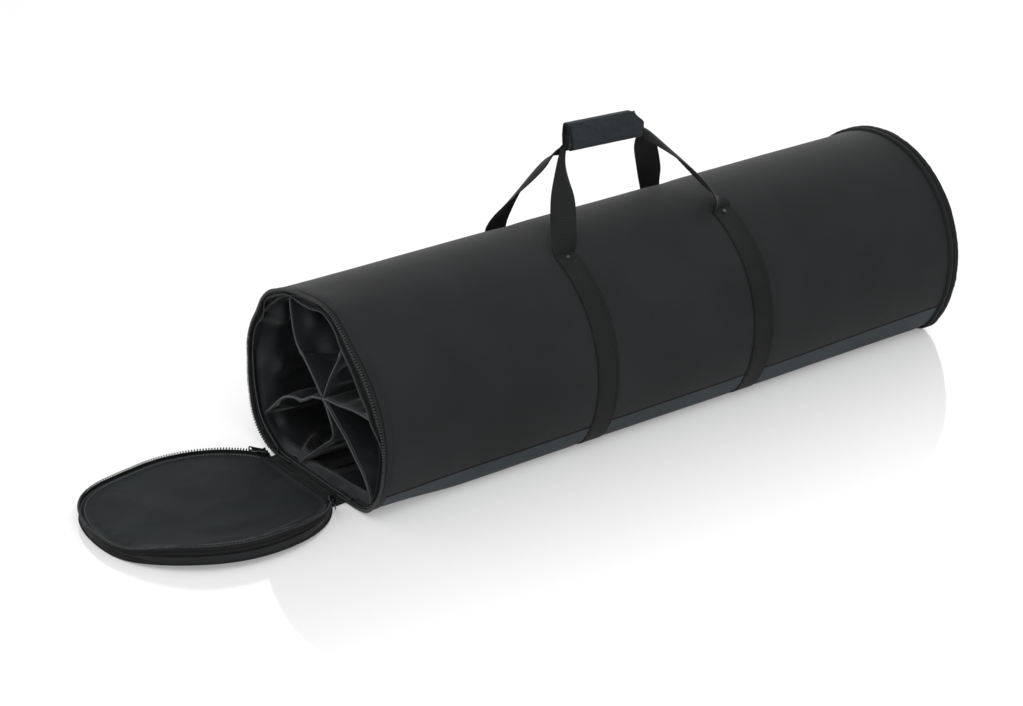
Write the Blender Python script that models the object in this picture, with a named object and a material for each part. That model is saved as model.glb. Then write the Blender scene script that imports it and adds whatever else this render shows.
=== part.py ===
# Mic stand bag: a padded tube bag with six compartments, a round zipped end flap and a carry handle.
# Run with blender --background --python part.py, or from Blender's text editor.
# Sizes are in metres and angles in degrees. X runs from the open mouth to the closed end, -Y is the near
# side and +Z is up. The origin is on the ground, at the middle of the bag's flat underside.

import math

import bmesh
import bpy
from mathutils import Matrix, Vector

# Clearances
GAP = 0.0003                 # between pieces that touch on the real bag
LAYER_GAP = 0.0004           # between the layers of the wall
EDGE_SLACK_SHARE = 1e-9      # how far past its ends an edge still counts as met
SMOOTH_ANGLE = 32.0          # edges sharper than this stay crisp
TEETH_SMOOTH_ANGLE = 10.0

# Body: a circle with a flat underside, which sags more at the open mouth than at the closed end
BODY_LENGTH = 1.100
BODY_RADIUS = 0.1766         # at the closed end
MOUTH_SPREAD = 0.0024        # how much wider the mouth's radius is
REAR_SAG = 0.0478            # how far below a full circle's bottom the floor cuts the section off
MOUTH_SAG = 0.0690
SEAM_HEIGHT = 0.0390         # where the grey bottom panel meets the black outer panel
SEAM_TAPE_WIDTH = 0.0030
SHELL_FABRIC = 0.0012
WALL_FOAM = 0.0060
LINING_FABRIC = 0.0008
LOW_STEPS, SIDE_STEPS, TOP_STEPS = 2, 10, 3

# Closed end
REAR_BINDING_WIDTH = 0.018
REAR_BINDING_THICKNESS = 0.0045
REAR_FOAM = 0.008

# Mouth rim, a folded binding round the edge of the wall
MOUTH_BINDING_WIDTH = 0.010
MOUTH_BINDING_FABRIC = 0.0012

# Straps under the bag, and the handle legs that rise from their ends
WEBBING_WIDTH = 0.038
WEBBING_THICKNESS = 0.0016
STRAP_FRONT_X = -0.161
STRAP_REAR_X = 0.138
NEAR_STRAP_END_ANGLE = 66.5  # above the horizontal
FAR_STRAP_END_ANGLE = 56.0   # lower than the near one, because the bag has rolled a little
PRESS_RAMP = 0.004           # how quickly the wall dips where webbing presses into it
RIVET_RADIUS = 0.0035
RIVET_HEIGHT = 0.0016
RIVET_FROM_END = 0.008
RIVET_SIDES = 12
RIVET_CROWN_SHARE = 0.7      # how far round the dome its flat crown starts

# Carry handle
GRIP_FRONT_X = -0.106
GRIP_LENGTH = 0.135
GRIP_RISE = 0.1186           # from the top of the closed end to the centre of the grip
GRIP_BAR_SPACING = 0.0014    # between the two webbing bars inside the grip
GRIP_BAR_HEIGHT = 0.034      # the webbing's edges curl in where the wrap holds it
GRIP_SIDE_FOAM = 0.0045
GRIP_END_FOAM = 0.0010
GRIP_FABRIC = 0.0012
GRIP_CORNER_STEPS = 4
HOOK_TAPE_THICKNESS = 0.0008
HOOK_TAPE_WIDTH = 0.024
HOOK_TAPE_END_MARGIN = 0.012
GRIP_FLAP_RISE = 0.003       # the flap's free edge stands above the wrap
LEG_DROP = 0.012             # the legs enter the grip below its middle
LEG_STEPS = 16

# How far each leg's curve is pulled straight up from the strap and straight out of the grip. On the way
# the webbing turns about its own line, and the grip gathers it to a third of its width or less.
LEG_RISES = {"near_front": 0.036, "near_rear": 0.027, "far_front": 0.032, "far_rear": 0.032}
LEG_LEADS = {"near_front": 0.012, "near_rear": 0.021, "far_front": 0.022, "far_rear": 0.012}
LEG_WAY_SHARES = {
    "near_front": (0, 0.20, 0.42, 0.62, 0.80, 0.93, 1),
    "near_rear": (0, 0.15, 0.32, 0.55, 0.78, 0.92, 1),
    "far_front": (0, 0.18, 0.42, 0.72, 0.90, 1),
    "far_rear": (0, 0.30, 0.60, 0.80, 0.92, 1),
}
LEG_TURNS = {
    "near_front": (0, -35, -40, -4, 12, 6, 0),
    "near_rear": (0, 58, 80, 76, 52, 20, 0),
    "far_front": (0, 8, 39, 56, 12, 0),
    "far_rear": (0, -30, -30, -26, -8, 0),
}
LEG_WIDTH_SHARES = {
    "near_front": (1, 1, 0.95, 0.70, 0.42, 0.22, 0.20),
    "near_rear": (1, 0.90, 0.90, 0.90, 0.66, 0.34, 0.28),
    "far_front": (1, 0.90, 0.90, 0.80, 0.32, 0.30),
    "far_rear": (1, 1, 0.92, 0.54, 0.28, 0.20),
}

# Dividers: six panels from one line of stitching to the wall
DIVIDER_FABRIC = 0.0012
DIVIDER_SETBACK = 0.0015     # behind the mouth's binding
DIVIDER_SEAM_RADIUS = 0.0035
DIVIDER_SEAM_SIDES = 8
DIVIDER_MOUTH_SHIFT = -0.017  # of the stitching at the mouth, from the middle towards the near side
DIVIDER_MOUTH_RISE = 0.0275  # and up from the centre of the section
DIVIDER_ANGLES = {           # up from the near side, over the top to the far side
    "divider_near_side": 4.0,
    "divider_near_top": 57.0,
    "divider_far_top": 123.0,
    "divider_far_side": 204.0,
    "divider_bottom": 244.0,
    "divider_near_bottom": 319.0,
}

# End flap, lying open on the ground in front of the mouth
HINGE_FROM_MOUTH = 0.0265
HINGE_HEIGHT = 0.001
HINGE_HALF_WIDTH = 0.082
HINGE_STRIP_THICKNESS = 0.0015
HINGE_RELIEF = 0.001         # from the hinge line to the flap's straight edge
FLAP_INSET = 0.0115          # how much smaller the flap's radius is than the mouth's
FLAP_FABRIC = 0.0012
FLAP_FOAM = 0.008
FLAP_LINING = 0.001
FLAP_STEPS = 48
PIPING_RADIUS = 0.0008
PIPING_SIDES = 6

# Zipper
ZIP_TAPE_THICKNESS = 0.0010
ZIP_TAPE_WIDTH = 0.0110
MOUTH_TAPE_WIDTH = 0.0080
MOUTH_TAPE_REACH = 0.0010    # how far the tape stands in front of the mouth
ZIP_TOOTH_PITCH = 0.0060
ZIP_TOOTH_HEIGHT = 0.0016
ZIP_CORD_WIDTH = 0.0034
ZIP_CORD_HEIGHT = 0.0012
ZIP_FLAT_RUN = 0.0356        # the mouth's teeth start this far in from the underside's corner
STOP_LENGTH = 0.0025
STOP_HEIGHT = 0.0030
SLIDER_LENGTH = 0.014
SLIDER_PLATE = 0.0017
SLIDER_ROOF = 0.0020
SLIDER_CLEARANCE = 0.0004
SLIDER_LIP = 0.0016          # the plates reach this far below the teeth
SLIDER_GUIDE_DEPTH = 0.0010  # channel in the top for the mouth's teeth
SLIDER_ROUND = 0.0008
EAR_LENGTH = 0.0030
EAR_REACH = 0.0034
EAR_THICKNESS = 0.0014
PIN_RADIUS = 0.0007
PIN_SIDES = 8
PULL_LENGTH = 0.0260
PULL_WIDTH = 0.0060
PULL_TIP_WIDTH = 0.0070
PULL_THICKNESS = 0.0014
PULL_HOLE_RADIUS = 0.0020
PULL_PIN_CLEARANCE = 0.0003
HOLE_SIDES = 10
CUT_OVERRUN = 0.002

# Derived places
MOUTH_X = -BODY_LENGTH / 2
REAR_X = BODY_LENGTH / 2
MOUTH_RADIUS = BODY_RADIUS + MOUTH_SPREAD
MOUTH_CENTRE_HEIGHT = MOUTH_RADIUS - MOUTH_SAG
REAR_CENTRE_HEIGHT = BODY_RADIUS - REAR_SAG
GRIP_HEIGHT = REAR_CENTRE_HEIGHT + BODY_RADIUS + GRIP_RISE
HINGE_X = MOUTH_X - HINGE_FROM_MOUTH
FLAP_RADIUS = MOUTH_RADIUS - FLAP_INSET
FOAM_INSET = SHELL_FABRIC + LAYER_GAP
LINING_INSET = FOAM_INSET + WALL_FOAM + LAYER_GAP
INSIDE_INSET = LINING_INSET + LINING_FABRIC
WEBBING_LIFT = GAP + WEBBING_THICKNESS
REAR_LIFT = GAP + REAR_BINDING_THICKNESS
RIM_X = MOUTH_X + MOUTH_BINDING_FABRIC + GAP
REAR_PANEL_X = REAR_X - SHELL_FABRIC
WALL_END_X = REAR_PANEL_X - GAP
STRAPS = {"front": STRAP_FRONT_X, "rear": STRAP_REAR_X}
SIDES = {"near": -1, "far": 1}
STRAP_END_ANGLES = {"near": NEAR_STRAP_END_ANGLE, "far": FAR_STRAP_END_ANGLE}
GRIP_REAR_X = GRIP_FRONT_X + GRIP_LENGTH
FLAP_CHORD = math.sqrt(FLAP_RADIUS**2 - HINGE_HALF_WIDTH**2)
FLAP_CENTRE_X = HINGE_X - HINGE_RELIEF - FLAP_CHORD
TAPE_RADIUS = FLAP_RADIUS + LAYER_GAP
TAPE_TOP = FLAP_FABRIC + FLAP_FOAM + FLAP_LINING + GAP + GAP + ZIP_TAPE_WIDTH / 2
CHAIN_RADIUS = TAPE_RADIUS + ZIP_TAPE_THICKNESS / 2
CHAIN_HEIGHT = ZIP_CORD_HEIGHT + ZIP_TOOTH_HEIGHT
FLAP_FINISHES = {"padding": "foam", "lining": "lining"}

COLOURS = {
    "shell": (0.020, 0.022, 0.024, 0.85),
    "panel": (0.040, 0.050, 0.054, 0.80),
    "foam": (0.010, 0.010, 0.011, 0.95),
    "lining": (0.030, 0.035, 0.038, 0.55),
    "webbing": (0.014, 0.015, 0.015, 0.75),
    "binding": (0.010, 0.011, 0.012, 0.70),
    "hook_tape": (0.012, 0.012, 0.012, 0.95),
    "zip_nylon": (0.012, 0.012, 0.013, 0.45),
    "metal": (0.180, 0.190, 0.200, 0.35),
}


def rad(angle):
    return math.radians(angle)


def mix(a, b, share):
    return a + (b - a) * share


# Scene, materials and mesh helpers

for old in list(bpy.data.objects):
    bpy.data.objects.remove(old)
bag = bpy.data.collections.new("mic_stand_bag")
cutters = bpy.data.collections.new("cutters")
cutters.hide_render = True
bpy.context.scene.collection.children.link(bag)
bpy.context.scene.collection.children.link(cutters)


def material(name, finish):
    red, green, blue, roughness = COLOURS[finish]
    made = bpy.data.materials.new(name)
    made.use_nodes = True
    shader = made.node_tree.nodes["Principled BSDF"]
    shader.inputs["Base Color"].default_value = (red, green, blue, 1)
    shader.inputs["Roughness"].default_value = roughness
    shader.inputs["Metallic"].default_value = 1 if finish == "metal" else 0
    made.diffuse_color = (red, green, blue, 1)
    return made


def add_object(name, bm, finish, origin=(0, 0, 0), smooth_angle=SMOOTH_ANGLE):
    """Turns a bmesh of world points into an object of the bag, with its origin where it turns or slides."""
    bmesh.ops.recalc_face_normals(bm, faces=bm.faces)
    bmesh.ops.translate(bm, verts=bm.verts, vec=-Vector(origin))
    mesh = bpy.data.meshes.new(name)
    bm.to_mesh(mesh)
    bm.free()
    mesh.shade_smooth()
    mesh.set_sharp_from_angle(angle=rad(smooth_angle))
    obj = bpy.data.objects.new(name, mesh)
    obj.location = origin
    obj.data.materials.append(material(name, finish))
    bag.objects.link(obj)
    return obj


def loft(bm, loops, ring=False, flat_ends=False):
    """Joins closed loops of points in order, and back to the first for a ring, or else closes the ends."""
    rows = [[bm.verts.new(point) for point in loop] for loop in loops]
    count = len(rows[0])
    pairs = list(zip(rows, rows[1:]))
    if ring:
        pairs.append((rows[-1], rows[0]))
    quads = []
    for low, high in pairs:
        for i in range(count):
            j = (i + 1) % count
            quads.append(bm.faces.new((low[i], low[j], high[j], high[i])))
    if not ring:
        for row in (rows[0], rows[-1]):
            if flat_ends:
                bm.faces.new(row)
                continue
            for i in range(count // 2 - 1):
                k = count - 1 - i
                corners = [row[i], row[i + 1], row[k - 1], row[k]]
                bm.faces.new(list(dict.fromkeys(corners)))
    bmesh.ops.triangulate(bm, faces=quads, quad_method="SHORT_EDGE")


def lofted(name, loops, finish, ring=False, flat_ends=False, origin=(0, 0, 0)):
    bm = bmesh.new()
    loft(bm, loops, ring, flat_ends)
    return add_object(name, bm, finish, origin)


def add_cutter(name, bm):
    bmesh.ops.recalc_face_normals(bm, faces=bm.faces)
    mesh = bpy.data.meshes.new(name)
    bm.to_mesh(mesh)
    bm.free()
    obj = bpy.data.objects.new(name, mesh)
    obj.hide_render = True
    obj.display_type = "WIRE"
    cutters.objects.link(obj)
    return obj


def cut(obj, cutter, operation="DIFFERENCE"):
    modifier = obj.modifiers.new(cutter.name, "BOOLEAN")
    modifier.operation = operation
    modifier.solver = "EXACT"
    modifier.object = cutter


def block(bm, low, high, frame=Matrix()):
    """A box between two corners, given in the frame's own axes."""
    size = Vector(high) - Vector(low)
    centre = (Vector(high) + Vector(low)) / 2
    placed = frame @ Matrix.Translation(centre) @ Matrix.Diagonal((*size, 1))
    return bmesh.ops.create_cube(bm, size=1, matrix=placed)["verts"]


# The body's cross-section

def radius_at(x):
    return mix(MOUTH_RADIUS, BODY_RADIUS, (x - MOUTH_X) / BODY_LENGTH)


def centre_height_at(x):
    return mix(MOUTH_CENTRE_HEIGHT, REAR_CENTRE_HEIGHT, (x - MOUTH_X) / BODY_LENGTH)


def press_zones():
    """(start, end, lift) of each stretch where webbing or binding presses the underside up."""
    margin = GAP + GAP
    zones = []
    for x in STRAPS.values():
        reach = WEBBING_WIDTH / 2 + margin
        zones.append((x - reach, x + reach, WEBBING_LIFT))
    zones.append((REAR_X - REAR_BINDING_WIDTH - margin, REAR_X, REAR_LIFT))
    return zones


def lift_at(x):
    for start, end, lift in press_zones():
        outside = max(start - x, x - end, 0)
        if outside < PRESS_RAMP:
            return lift * (1 - outside / PRESS_RAMP)
    return 0.0


def stations(start, end):
    """The places along X where the wall's facets break."""
    places = {start, end}
    for low, high, _ in press_zones():
        places.update((low - PRESS_RAMP, low, high, high + PRESS_RAMP))
    return sorted(x for x in places if start <= x <= end)


def corner_angle(x, inset):
    rise = lift_at(x) + inset - centre_height_at(x)
    return math.degrees(math.asin(rise / (radius_at(x) - inset)))


def seam_angle(x):
    return math.degrees(math.asin((SEAM_HEIGHT - centre_height_at(x)) / radius_at(x)))


def spread(start, end, steps):
    return [mix(start, end, i / steps) for i in range(steps + 1)]


def low_angles(x, inset):
    """From the near bottom corner up to the seam, the last excluded."""
    return spread(corner_angle(x, inset), seam_angle(x), LOW_STEPS)[:-1]


def upper_angles(x):
    """From the near seam up to the top, the last excluded."""
    side = spread(seam_angle(x), NEAR_STRAP_END_ANGLE, SIDE_STEPS)[:-1]
    return side + spread(NEAR_STRAP_END_ANGLE, 90, TOP_STEPS)[:-1]


def near_angles(x, inset):
    return low_angles(x, inset) + upper_angles(x)


def whole_angles(x, inset):
    near = near_angles(x, inset)
    return near + [90] + [180 - a for a in reversed(near)]


def both_sides_down(near, far):
    """A run of angles down the near side, and on under the bag and up the far side."""
    return list(reversed(near)) + [180 - a for a in far]


def seam_edge(x, distance):
    return seam_angle(x) + math.degrees(distance / radius_at(x))


def outer_angles(x, inset):
    edge = seam_edge(x, SEAM_TAPE_WIDTH / 2 + LAYER_GAP)
    near = [edge] + upper_angles(x)[1:]
    return near + [90] + [180 - a for a in reversed(near)]


def bottom_angles(x, inset):
    edge = seam_edge(x, -SEAM_TAPE_WIDTH / 2 - LAYER_GAP)
    angles = low_angles(x, inset) + [edge]
    return both_sides_down(angles, angles)


def strap_angles(x, inset):
    runs = []
    for end in STRAP_END_ANGLES.values():
        runs.append([a for a in near_angles(x, inset) if a < end] + [end])
    return both_sides_down(*runs)


def seam_tape_angles(side):
    def angles(x, inset):
        edges = [seam_edge(x, -SEAM_TAPE_WIDTH / 2), seam_edge(x, SEAM_TAPE_WIDTH / 2)]
        return edges if side == "near" else [180 - a for a in edges]
    return angles


def on_section(x, inset, angle):
    reach = radius_at(x) - inset
    return Vector((x, -reach * math.cos(rad(angle)), centre_height_at(x) + reach * math.sin(rad(angle))))


def section(x, inset, angles=whole_angles):
    return [on_section(x, inset, angle) for angle in angles(x, inset)]


def swept(name, profile, finish, angles=whole_angles, ring=True):
    """Sweeps a closed profile of (x, inset) points along the cross-section."""
    rows = [section(x, inset, angles) for x, inset in profile]
    return lofted(name, list(zip(*rows)), finish, ring=ring)


def layer(name, start, end, inset, thickness, finish, angles=whole_angles, ring=True):
    places = stations(start, end)
    outer = [(x, inset) for x in places]
    inner = [(x, inset + thickness) for x in reversed(places)]
    return swept(name, outer + inner, finish, angles, ring)


def plug(name, start, end, inset, finish):
    """A flat round panel that fills the cross-section."""
    return lofted(name, [section(start, inset), section(end, inset)], finish, flat_ends=True)


# Body

def make_wall():
    panel_start = MOUTH_X + MOUTH_BINDING_WIDTH + GAP
    layer("outer_panel", panel_start, WALL_END_X, 0, SHELL_FABRIC, "shell", outer_angles, ring=False)
    layer("bottom_panel", panel_start, WALL_END_X, 0, SHELL_FABRIC, "panel", bottom_angles, ring=False)
    for side in SIDES:
        layer(f"seam_tape_{side}", panel_start, WALL_END_X, 0, SHELL_FABRIC, "binding",
              seam_tape_angles(side), ring=False)
    layer("wall_padding", RIM_X, WALL_END_X, FOAM_INSET, WALL_FOAM, "foam")
    layer("wall_lining", RIM_X, WALL_END_X, LINING_INSET, LINING_FABRIC, "lining")


def make_mouth_binding():
    back = MOUTH_X + MOUTH_BINDING_WIDTH
    front = MOUTH_X + MOUTH_BINDING_FABRIC
    inner = INSIDE_INSET + LAYER_GAP
    fold = inner + MOUTH_BINDING_FABRIC
    outer_leg = [(front, SHELL_FABRIC), (back, SHELL_FABRIC), (back, 0), (MOUTH_X, 0)]
    inner_leg = [(MOUTH_X, fold), (back, fold), (back, inner), (front, inner)]
    swept("mouth_binding", outer_leg + inner_leg, "binding")


def make_rear():
    foam_inset = INSIDE_INSET + LAYER_GAP
    foam_end = REAR_PANEL_X - GAP
    foam_start = foam_end - REAR_FOAM
    plug("rear_panel", REAR_PANEL_X, REAR_X, 0, "shell")
    plug("rear_padding", foam_start, foam_end, foam_inset, "foam")
    lining_end = foam_start - GAP
    plug("rear_lining", lining_end - LINING_FABRIC, lining_end, foam_inset, "lining")
    start = REAR_X - REAR_BINDING_WIDTH
    outer = -GAP - REAR_BINDING_THICKNESS
    swept("rear_binding", [(start, outer), (REAR_X, outer), (REAR_X, -GAP), (start, -GAP)], "binding")
    return lining_end - LINING_FABRIC


def make_straps():
    for name, x in STRAPS.items():
        start, end = x - WEBBING_WIDTH / 2, x + WEBBING_WIDTH / 2
        outer = -GAP - WEBBING_THICKNESS
        profile = [(start, outer), (end, outer), (end, -GAP), (start, -GAP)]
        swept(f"strap_{name}", profile, "webbing", strap_angles, ring=False)


def surface_frame(x, angle, inset):
    """Axes at a point of the section: X along the bag, Y round it and Z straight out."""
    outward = Vector((0, -math.cos(rad(angle)), math.sin(rad(angle))))
    along = Vector((1, 0, 0))
    axes = Matrix((along, outward.cross(along), outward)).transposed().to_4x4()
    return Matrix.Translation(on_section(x, inset, angle)) @ axes


def make_rivets():
    """One domed rivet at each end of each strap, where the handle's leg leaves the bag."""
    step = math.degrees(RIVET_FROM_END / MOUTH_RADIUS)
    angles = {"near": NEAR_STRAP_END_ANGLE - step, "far": 180 - FAR_STRAP_END_ANGLE + step}
    for end, x in STRAPS.items():
        for side, angle in angles.items():
            frame = surface_frame(x, angle, -GAP - WEBBING_THICKNESS - GAP)
            loops = []
            for share in (0, 0.5, 1):
                reach = RIVET_RADIUS * math.cos(rad(90 * share * RIVET_CROWN_SHARE))
                height = RIVET_HEIGHT * math.sin(rad(90 * share))
                loops.append([
                    frame @ Vector((reach * math.cos(turn), reach * math.sin(turn), height))
                    for turn in (math.tau * i / RIVET_SIDES for i in range(RIVET_SIDES))
                ])
            lofted(f"strap_rivet_{side}_{end}", loops, "metal", flat_ends=True)


# Dividers

def reach_to_lining(x, start, direction):
    """How far a line runs from a point of the section at x until it meets the lining."""
    outline = section(x, INSIDE_INSET)
    best = math.inf
    for a, b in zip(outline, outline[1:] + outline[:1]):
        edge, offset = b - a, a - start
        cross = direction.y * edge.z - direction.z * edge.y
        if cross == 0:
            continue
        distance = (offset.y * edge.z - offset.z * edge.y) / cross
        share = (offset.y * direction.z - offset.z * direction.y) / cross
        if distance > 0 and -EDGE_SLACK_SHARE <= share <= 1 + EDGE_SLACK_SHARE:
            best = min(best, distance)
    return best


def divider_centre(x):
    share = (x - MOUTH_X) / BODY_LENGTH
    rise = mix(DIVIDER_MOUTH_RISE, 0, share)
    return Vector((x, mix(DIVIDER_MOUTH_SHIFT, 0, share), centre_height_at(x) + rise))


def make_dividers(rear_lining_x):
    start, end = MOUTH_X + MOUTH_BINDING_WIDTH + DIVIDER_SETBACK, rear_lining_x - GAP
    for name, angle in DIVIDER_ANGLES.items():
        direction = Vector((0, -math.cos(rad(angle)), math.sin(rad(angle))))
        across = Vector((0, -direction.z, direction.y)) * (DIVIDER_FABRIC / 2)
        loops = []
        for x in stations(start, end):
            centre = divider_centre(x)
            loop = []
            for side in (across, -across):
                root = centre + side + direction * (DIVIDER_SEAM_RADIUS + GAP)
                tip_reach = reach_to_lining(x, root, direction) - LAYER_GAP
                tip = root + direction * tip_reach
                loop += [root, tip] if side is across else [tip, root]
            loops.append(loop)
        lofted(name, loops, "lining")
    seam = []
    for x in (start, end):
        turns = [math.tau * i / DIVIDER_SEAM_SIDES for i in range(DIVIDER_SEAM_SIDES)]
        ring = [Vector((0, math.cos(t), math.sin(t))) * DIVIDER_SEAM_RADIUS for t in turns]
        seam.append([divider_centre(x) + point for point in ring])
    lofted("divider_centre_seam", seam, "lining", flat_ends=True)


# Carry handle

def stadium(half_width, half_height):
    """Round-ended outline in Y and Z, counter-clockwise from the near side of the top."""
    straight = half_height - half_width
    points = []
    for centre, start in ((straight, 0.0), (-straight, 180)):
        for i in range(2 * GRIP_CORNER_STEPS + 1):
            turn = rad(start + 90 * i / GRIP_CORNER_STEPS)
            points.append((half_width * math.cos(turn), centre + half_width * math.sin(turn)))
    return points


def grip_tube(name, half_width, half_height, side_thickness, end_thickness, finish):
    outer = stadium(half_width + side_thickness, half_height + end_thickness)
    inner = stadium(half_width, half_height)
    loops = []
    for (oy, oz), (iy, iz) in zip(outer, inner):
        loops.append([
            (GRIP_FRONT_X, oy, GRIP_HEIGHT + oz),
            (GRIP_REAR_X, oy, GRIP_HEIGHT + oz),
            (GRIP_REAR_X, iy, GRIP_HEIGHT + iz),
            (GRIP_FRONT_X, iy, GRIP_HEIGHT + iz),
        ])
    lofted(name, loops, finish, ring=True)


def bar_offset():
    return GRIP_BAR_SPACING / 2 + WEBBING_THICKNESS / 2


def make_grip():
    """Two webbing bars, a foam sleeve, a fabric wrap, and a flap that hook-and-loop tape holds shut."""
    for side, sign in SIDES.items():
        bm = bmesh.new()
        y = sign * bar_offset()
        half = WEBBING_THICKNESS / 2
        block(bm, (GRIP_FRONT_X, y - half, GRIP_HEIGHT - GRIP_BAR_HEIGHT / 2),
              (GRIP_REAR_X, y + half, GRIP_HEIGHT + GRIP_BAR_HEIGHT / 2))
        add_object(f"handle_bar_{side}", bm, "webbing")

    foam_width = bar_offset() + WEBBING_THICKNESS / 2 + GAP
    foam_height = GRIP_BAR_HEIGHT / 2 + foam_width
    grip_tube("grip_padding", foam_width, foam_height, GRIP_SIDE_FOAM, GRIP_END_FOAM, "foam")
    wrap_width = foam_width + GRIP_SIDE_FOAM + GAP
    wrap_height = foam_height + GRIP_END_FOAM + GAP
    grip_tube("grip_wrap", wrap_width, wrap_height, GRIP_FABRIC, GRIP_FABRIC, "shell")

    face = -wrap_width - GRIP_FABRIC
    for name in ("grip_hook_tape", "grip_loop_tape"):
        face -= GAP
        bm = bmesh.new()
        block(bm, (GRIP_FRONT_X + HOOK_TAPE_END_MARGIN, face - HOOK_TAPE_THICKNESS,
                   GRIP_HEIGHT - HOOK_TAPE_WIDTH / 2),
              (GRIP_REAR_X - HOOK_TAPE_END_MARGIN, face, GRIP_HEIGHT + HOOK_TAPE_WIDTH / 2))
        add_object(name, bm, "hook_tape")
        face -= HOOK_TAPE_THICKNESS

    face -= GAP
    straight = wrap_height - wrap_width
    inner, outer = [], []
    for i in range(GRIP_CORNER_STEPS + 1):
        turn = rad(-90 - 90 * i / GRIP_CORNER_STEPS)
        for points, reach in ((inner, -face), (outer, -face + GRIP_FABRIC)):
            points.append((reach * math.cos(turn), -straight + reach * math.sin(turn)))
    top = wrap_height + GRIP_FABRIC + GRIP_FLAP_RISE
    inner.append((face, top))
    outer.append((face - GRIP_FABRIC, top))
    outline = inner + outer[::-1]
    ends = [[(x, y, GRIP_HEIGHT + z) for y, z in outline] for x in (GRIP_FRONT_X, GRIP_REAR_X)]
    hinge = (0, 0, GRIP_HEIGHT - straight + face)
    lofted("grip_flap", ends, "shell", origin=hinge)


def bezier(points, share):
    a, b, c, d = points
    rest = 1 - share
    place = a * rest**3 + b * (3 * rest**2 * share) + c * (3 * rest * share**2) + d * share**3
    heading = (b - a) * rest**2 + (c - b) * (2 * rest * share) + (d - c) * share**2
    return place, heading.normalized()


def between(ways, values, share):
    """The value at a share of the way, on a smooth curve through the values at the listed ways."""
    last = len(ways) - 1
    slopes = [0.0] * (last + 1)
    for i in range(1, last):
        slopes[i] = (values[i + 1] - values[i - 1]) / (ways[i + 1] - ways[i - 1])
    i = max(k for k in range(last) if ways[k] <= share)
    width = ways[i + 1] - ways[i]
    part = (share - ways[i]) / width
    rest = 1 - part
    ends = values[i] * rest * rest * (1 + 2 * part) + values[i + 1] * part * part * (1 + 2 * rest)
    return ends + width * part * rest * (slopes[i] * rest - slopes[i + 1] * part)


def make_legs():
    """Webbing that rises flat from the strap, turns about its own line and is gathered into the grip."""
    step = math.degrees((WEBBING_THICKNESS / 2 + GAP) / MOUTH_RADIUS)
    clear = WEBBING_THICKNESS / 2 + GAP
    grip_ends = {"front": (GRIP_FRONT_X - GAP, -1), "rear": (GRIP_REAR_X + GAP, 1)}
    for side, sign in SIDES.items():
        for end, (grip_x, outward) in grip_ends.items():
            leg = f"{side}_{end}"
            foot = on_section(STRAPS[end], -clear, STRAP_END_ANGLES[side] + step)
            foot.y = math.copysign(foot.y, sign)
            hand = Vector((grip_x, sign * bar_offset(), GRIP_HEIGHT - LEG_DROP))
            rise, lead = Vector((0, 0, LEG_RISES[leg])), Vector((outward * LEG_LEADS[leg], 0, 0))
            curve = (foot, foot + rise, hand + lead, hand)
            loops = []
            for i in range(LEG_STEPS + 1):
                share = i / LEG_STEPS
                place, heading = bezier(curve, share)
                turn = rad(between(LEG_WAY_SHARES[leg], LEG_TURNS[leg], share))
                width = WEBBING_WIDTH * between(LEG_WAY_SHARES[leg], LEG_WIDTH_SHARES[leg], share)
                sideways = Vector((0, 1, 0)) - heading * heading.y
                sideways.normalize()
                across = sideways.cross(heading) * math.cos(turn) + sideways * math.sin(turn)
                face = across.cross(heading) * (WEBBING_THICKNESS / 2)
                low, high = place - across * (width / 2), place + across * (width / 2)
                loops.append([low - face, high - face, high + face, low + face])
            lofted(f"handle_leg_{leg}", loops, "webbing")


# End flap

def flap_outline(radius, start_angle=None, steps=FLAP_STEPS):
    """Points of the flap's edge seen from above, from one end of the straight hinge edge to the other."""
    if start_angle is None:
        start_angle = math.degrees(math.acos(min(1, FLAP_CHORD / radius))) if radius > FLAP_CHORD else 0
    turns = spread(start_angle, 360 - start_angle, steps)
    return [(FLAP_CENTRE_X + radius * math.cos(rad(t)), -radius * math.sin(rad(t))) for t in turns]


def flap_band(name, inner, outer, low, high, start_angle, finish):
    loops = []
    for (ox, oy), (ix, iy) in zip(flap_outline(outer, start_angle), flap_outline(inner, start_angle)):
        loops.append([(ox, oy, low), (ox, oy, high), (ix, iy, high), (ix, iy, low)])
    lofted(name, loops, finish, origin=(HINGE_X, 0, HINGE_HEIGHT))


def zip_angle(distance):
    """Angle on the flap's edge at a distance past the end of the hinge."""
    return math.degrees(math.asin(HINGE_HALF_WIDTH / CHAIN_RADIUS) + distance / CHAIN_RADIUS)


STOP_ANGLE = zip_angle(STOP_LENGTH)
CHAIN_ANGLE = zip_angle(STOP_LENGTH / 2 + STOP_LENGTH + GAP)
SLIDER_ANGLE = CHAIN_ANGLE + math.degrees((SLIDER_LENGTH / 2 + GAP) / CHAIN_RADIUS)


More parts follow.
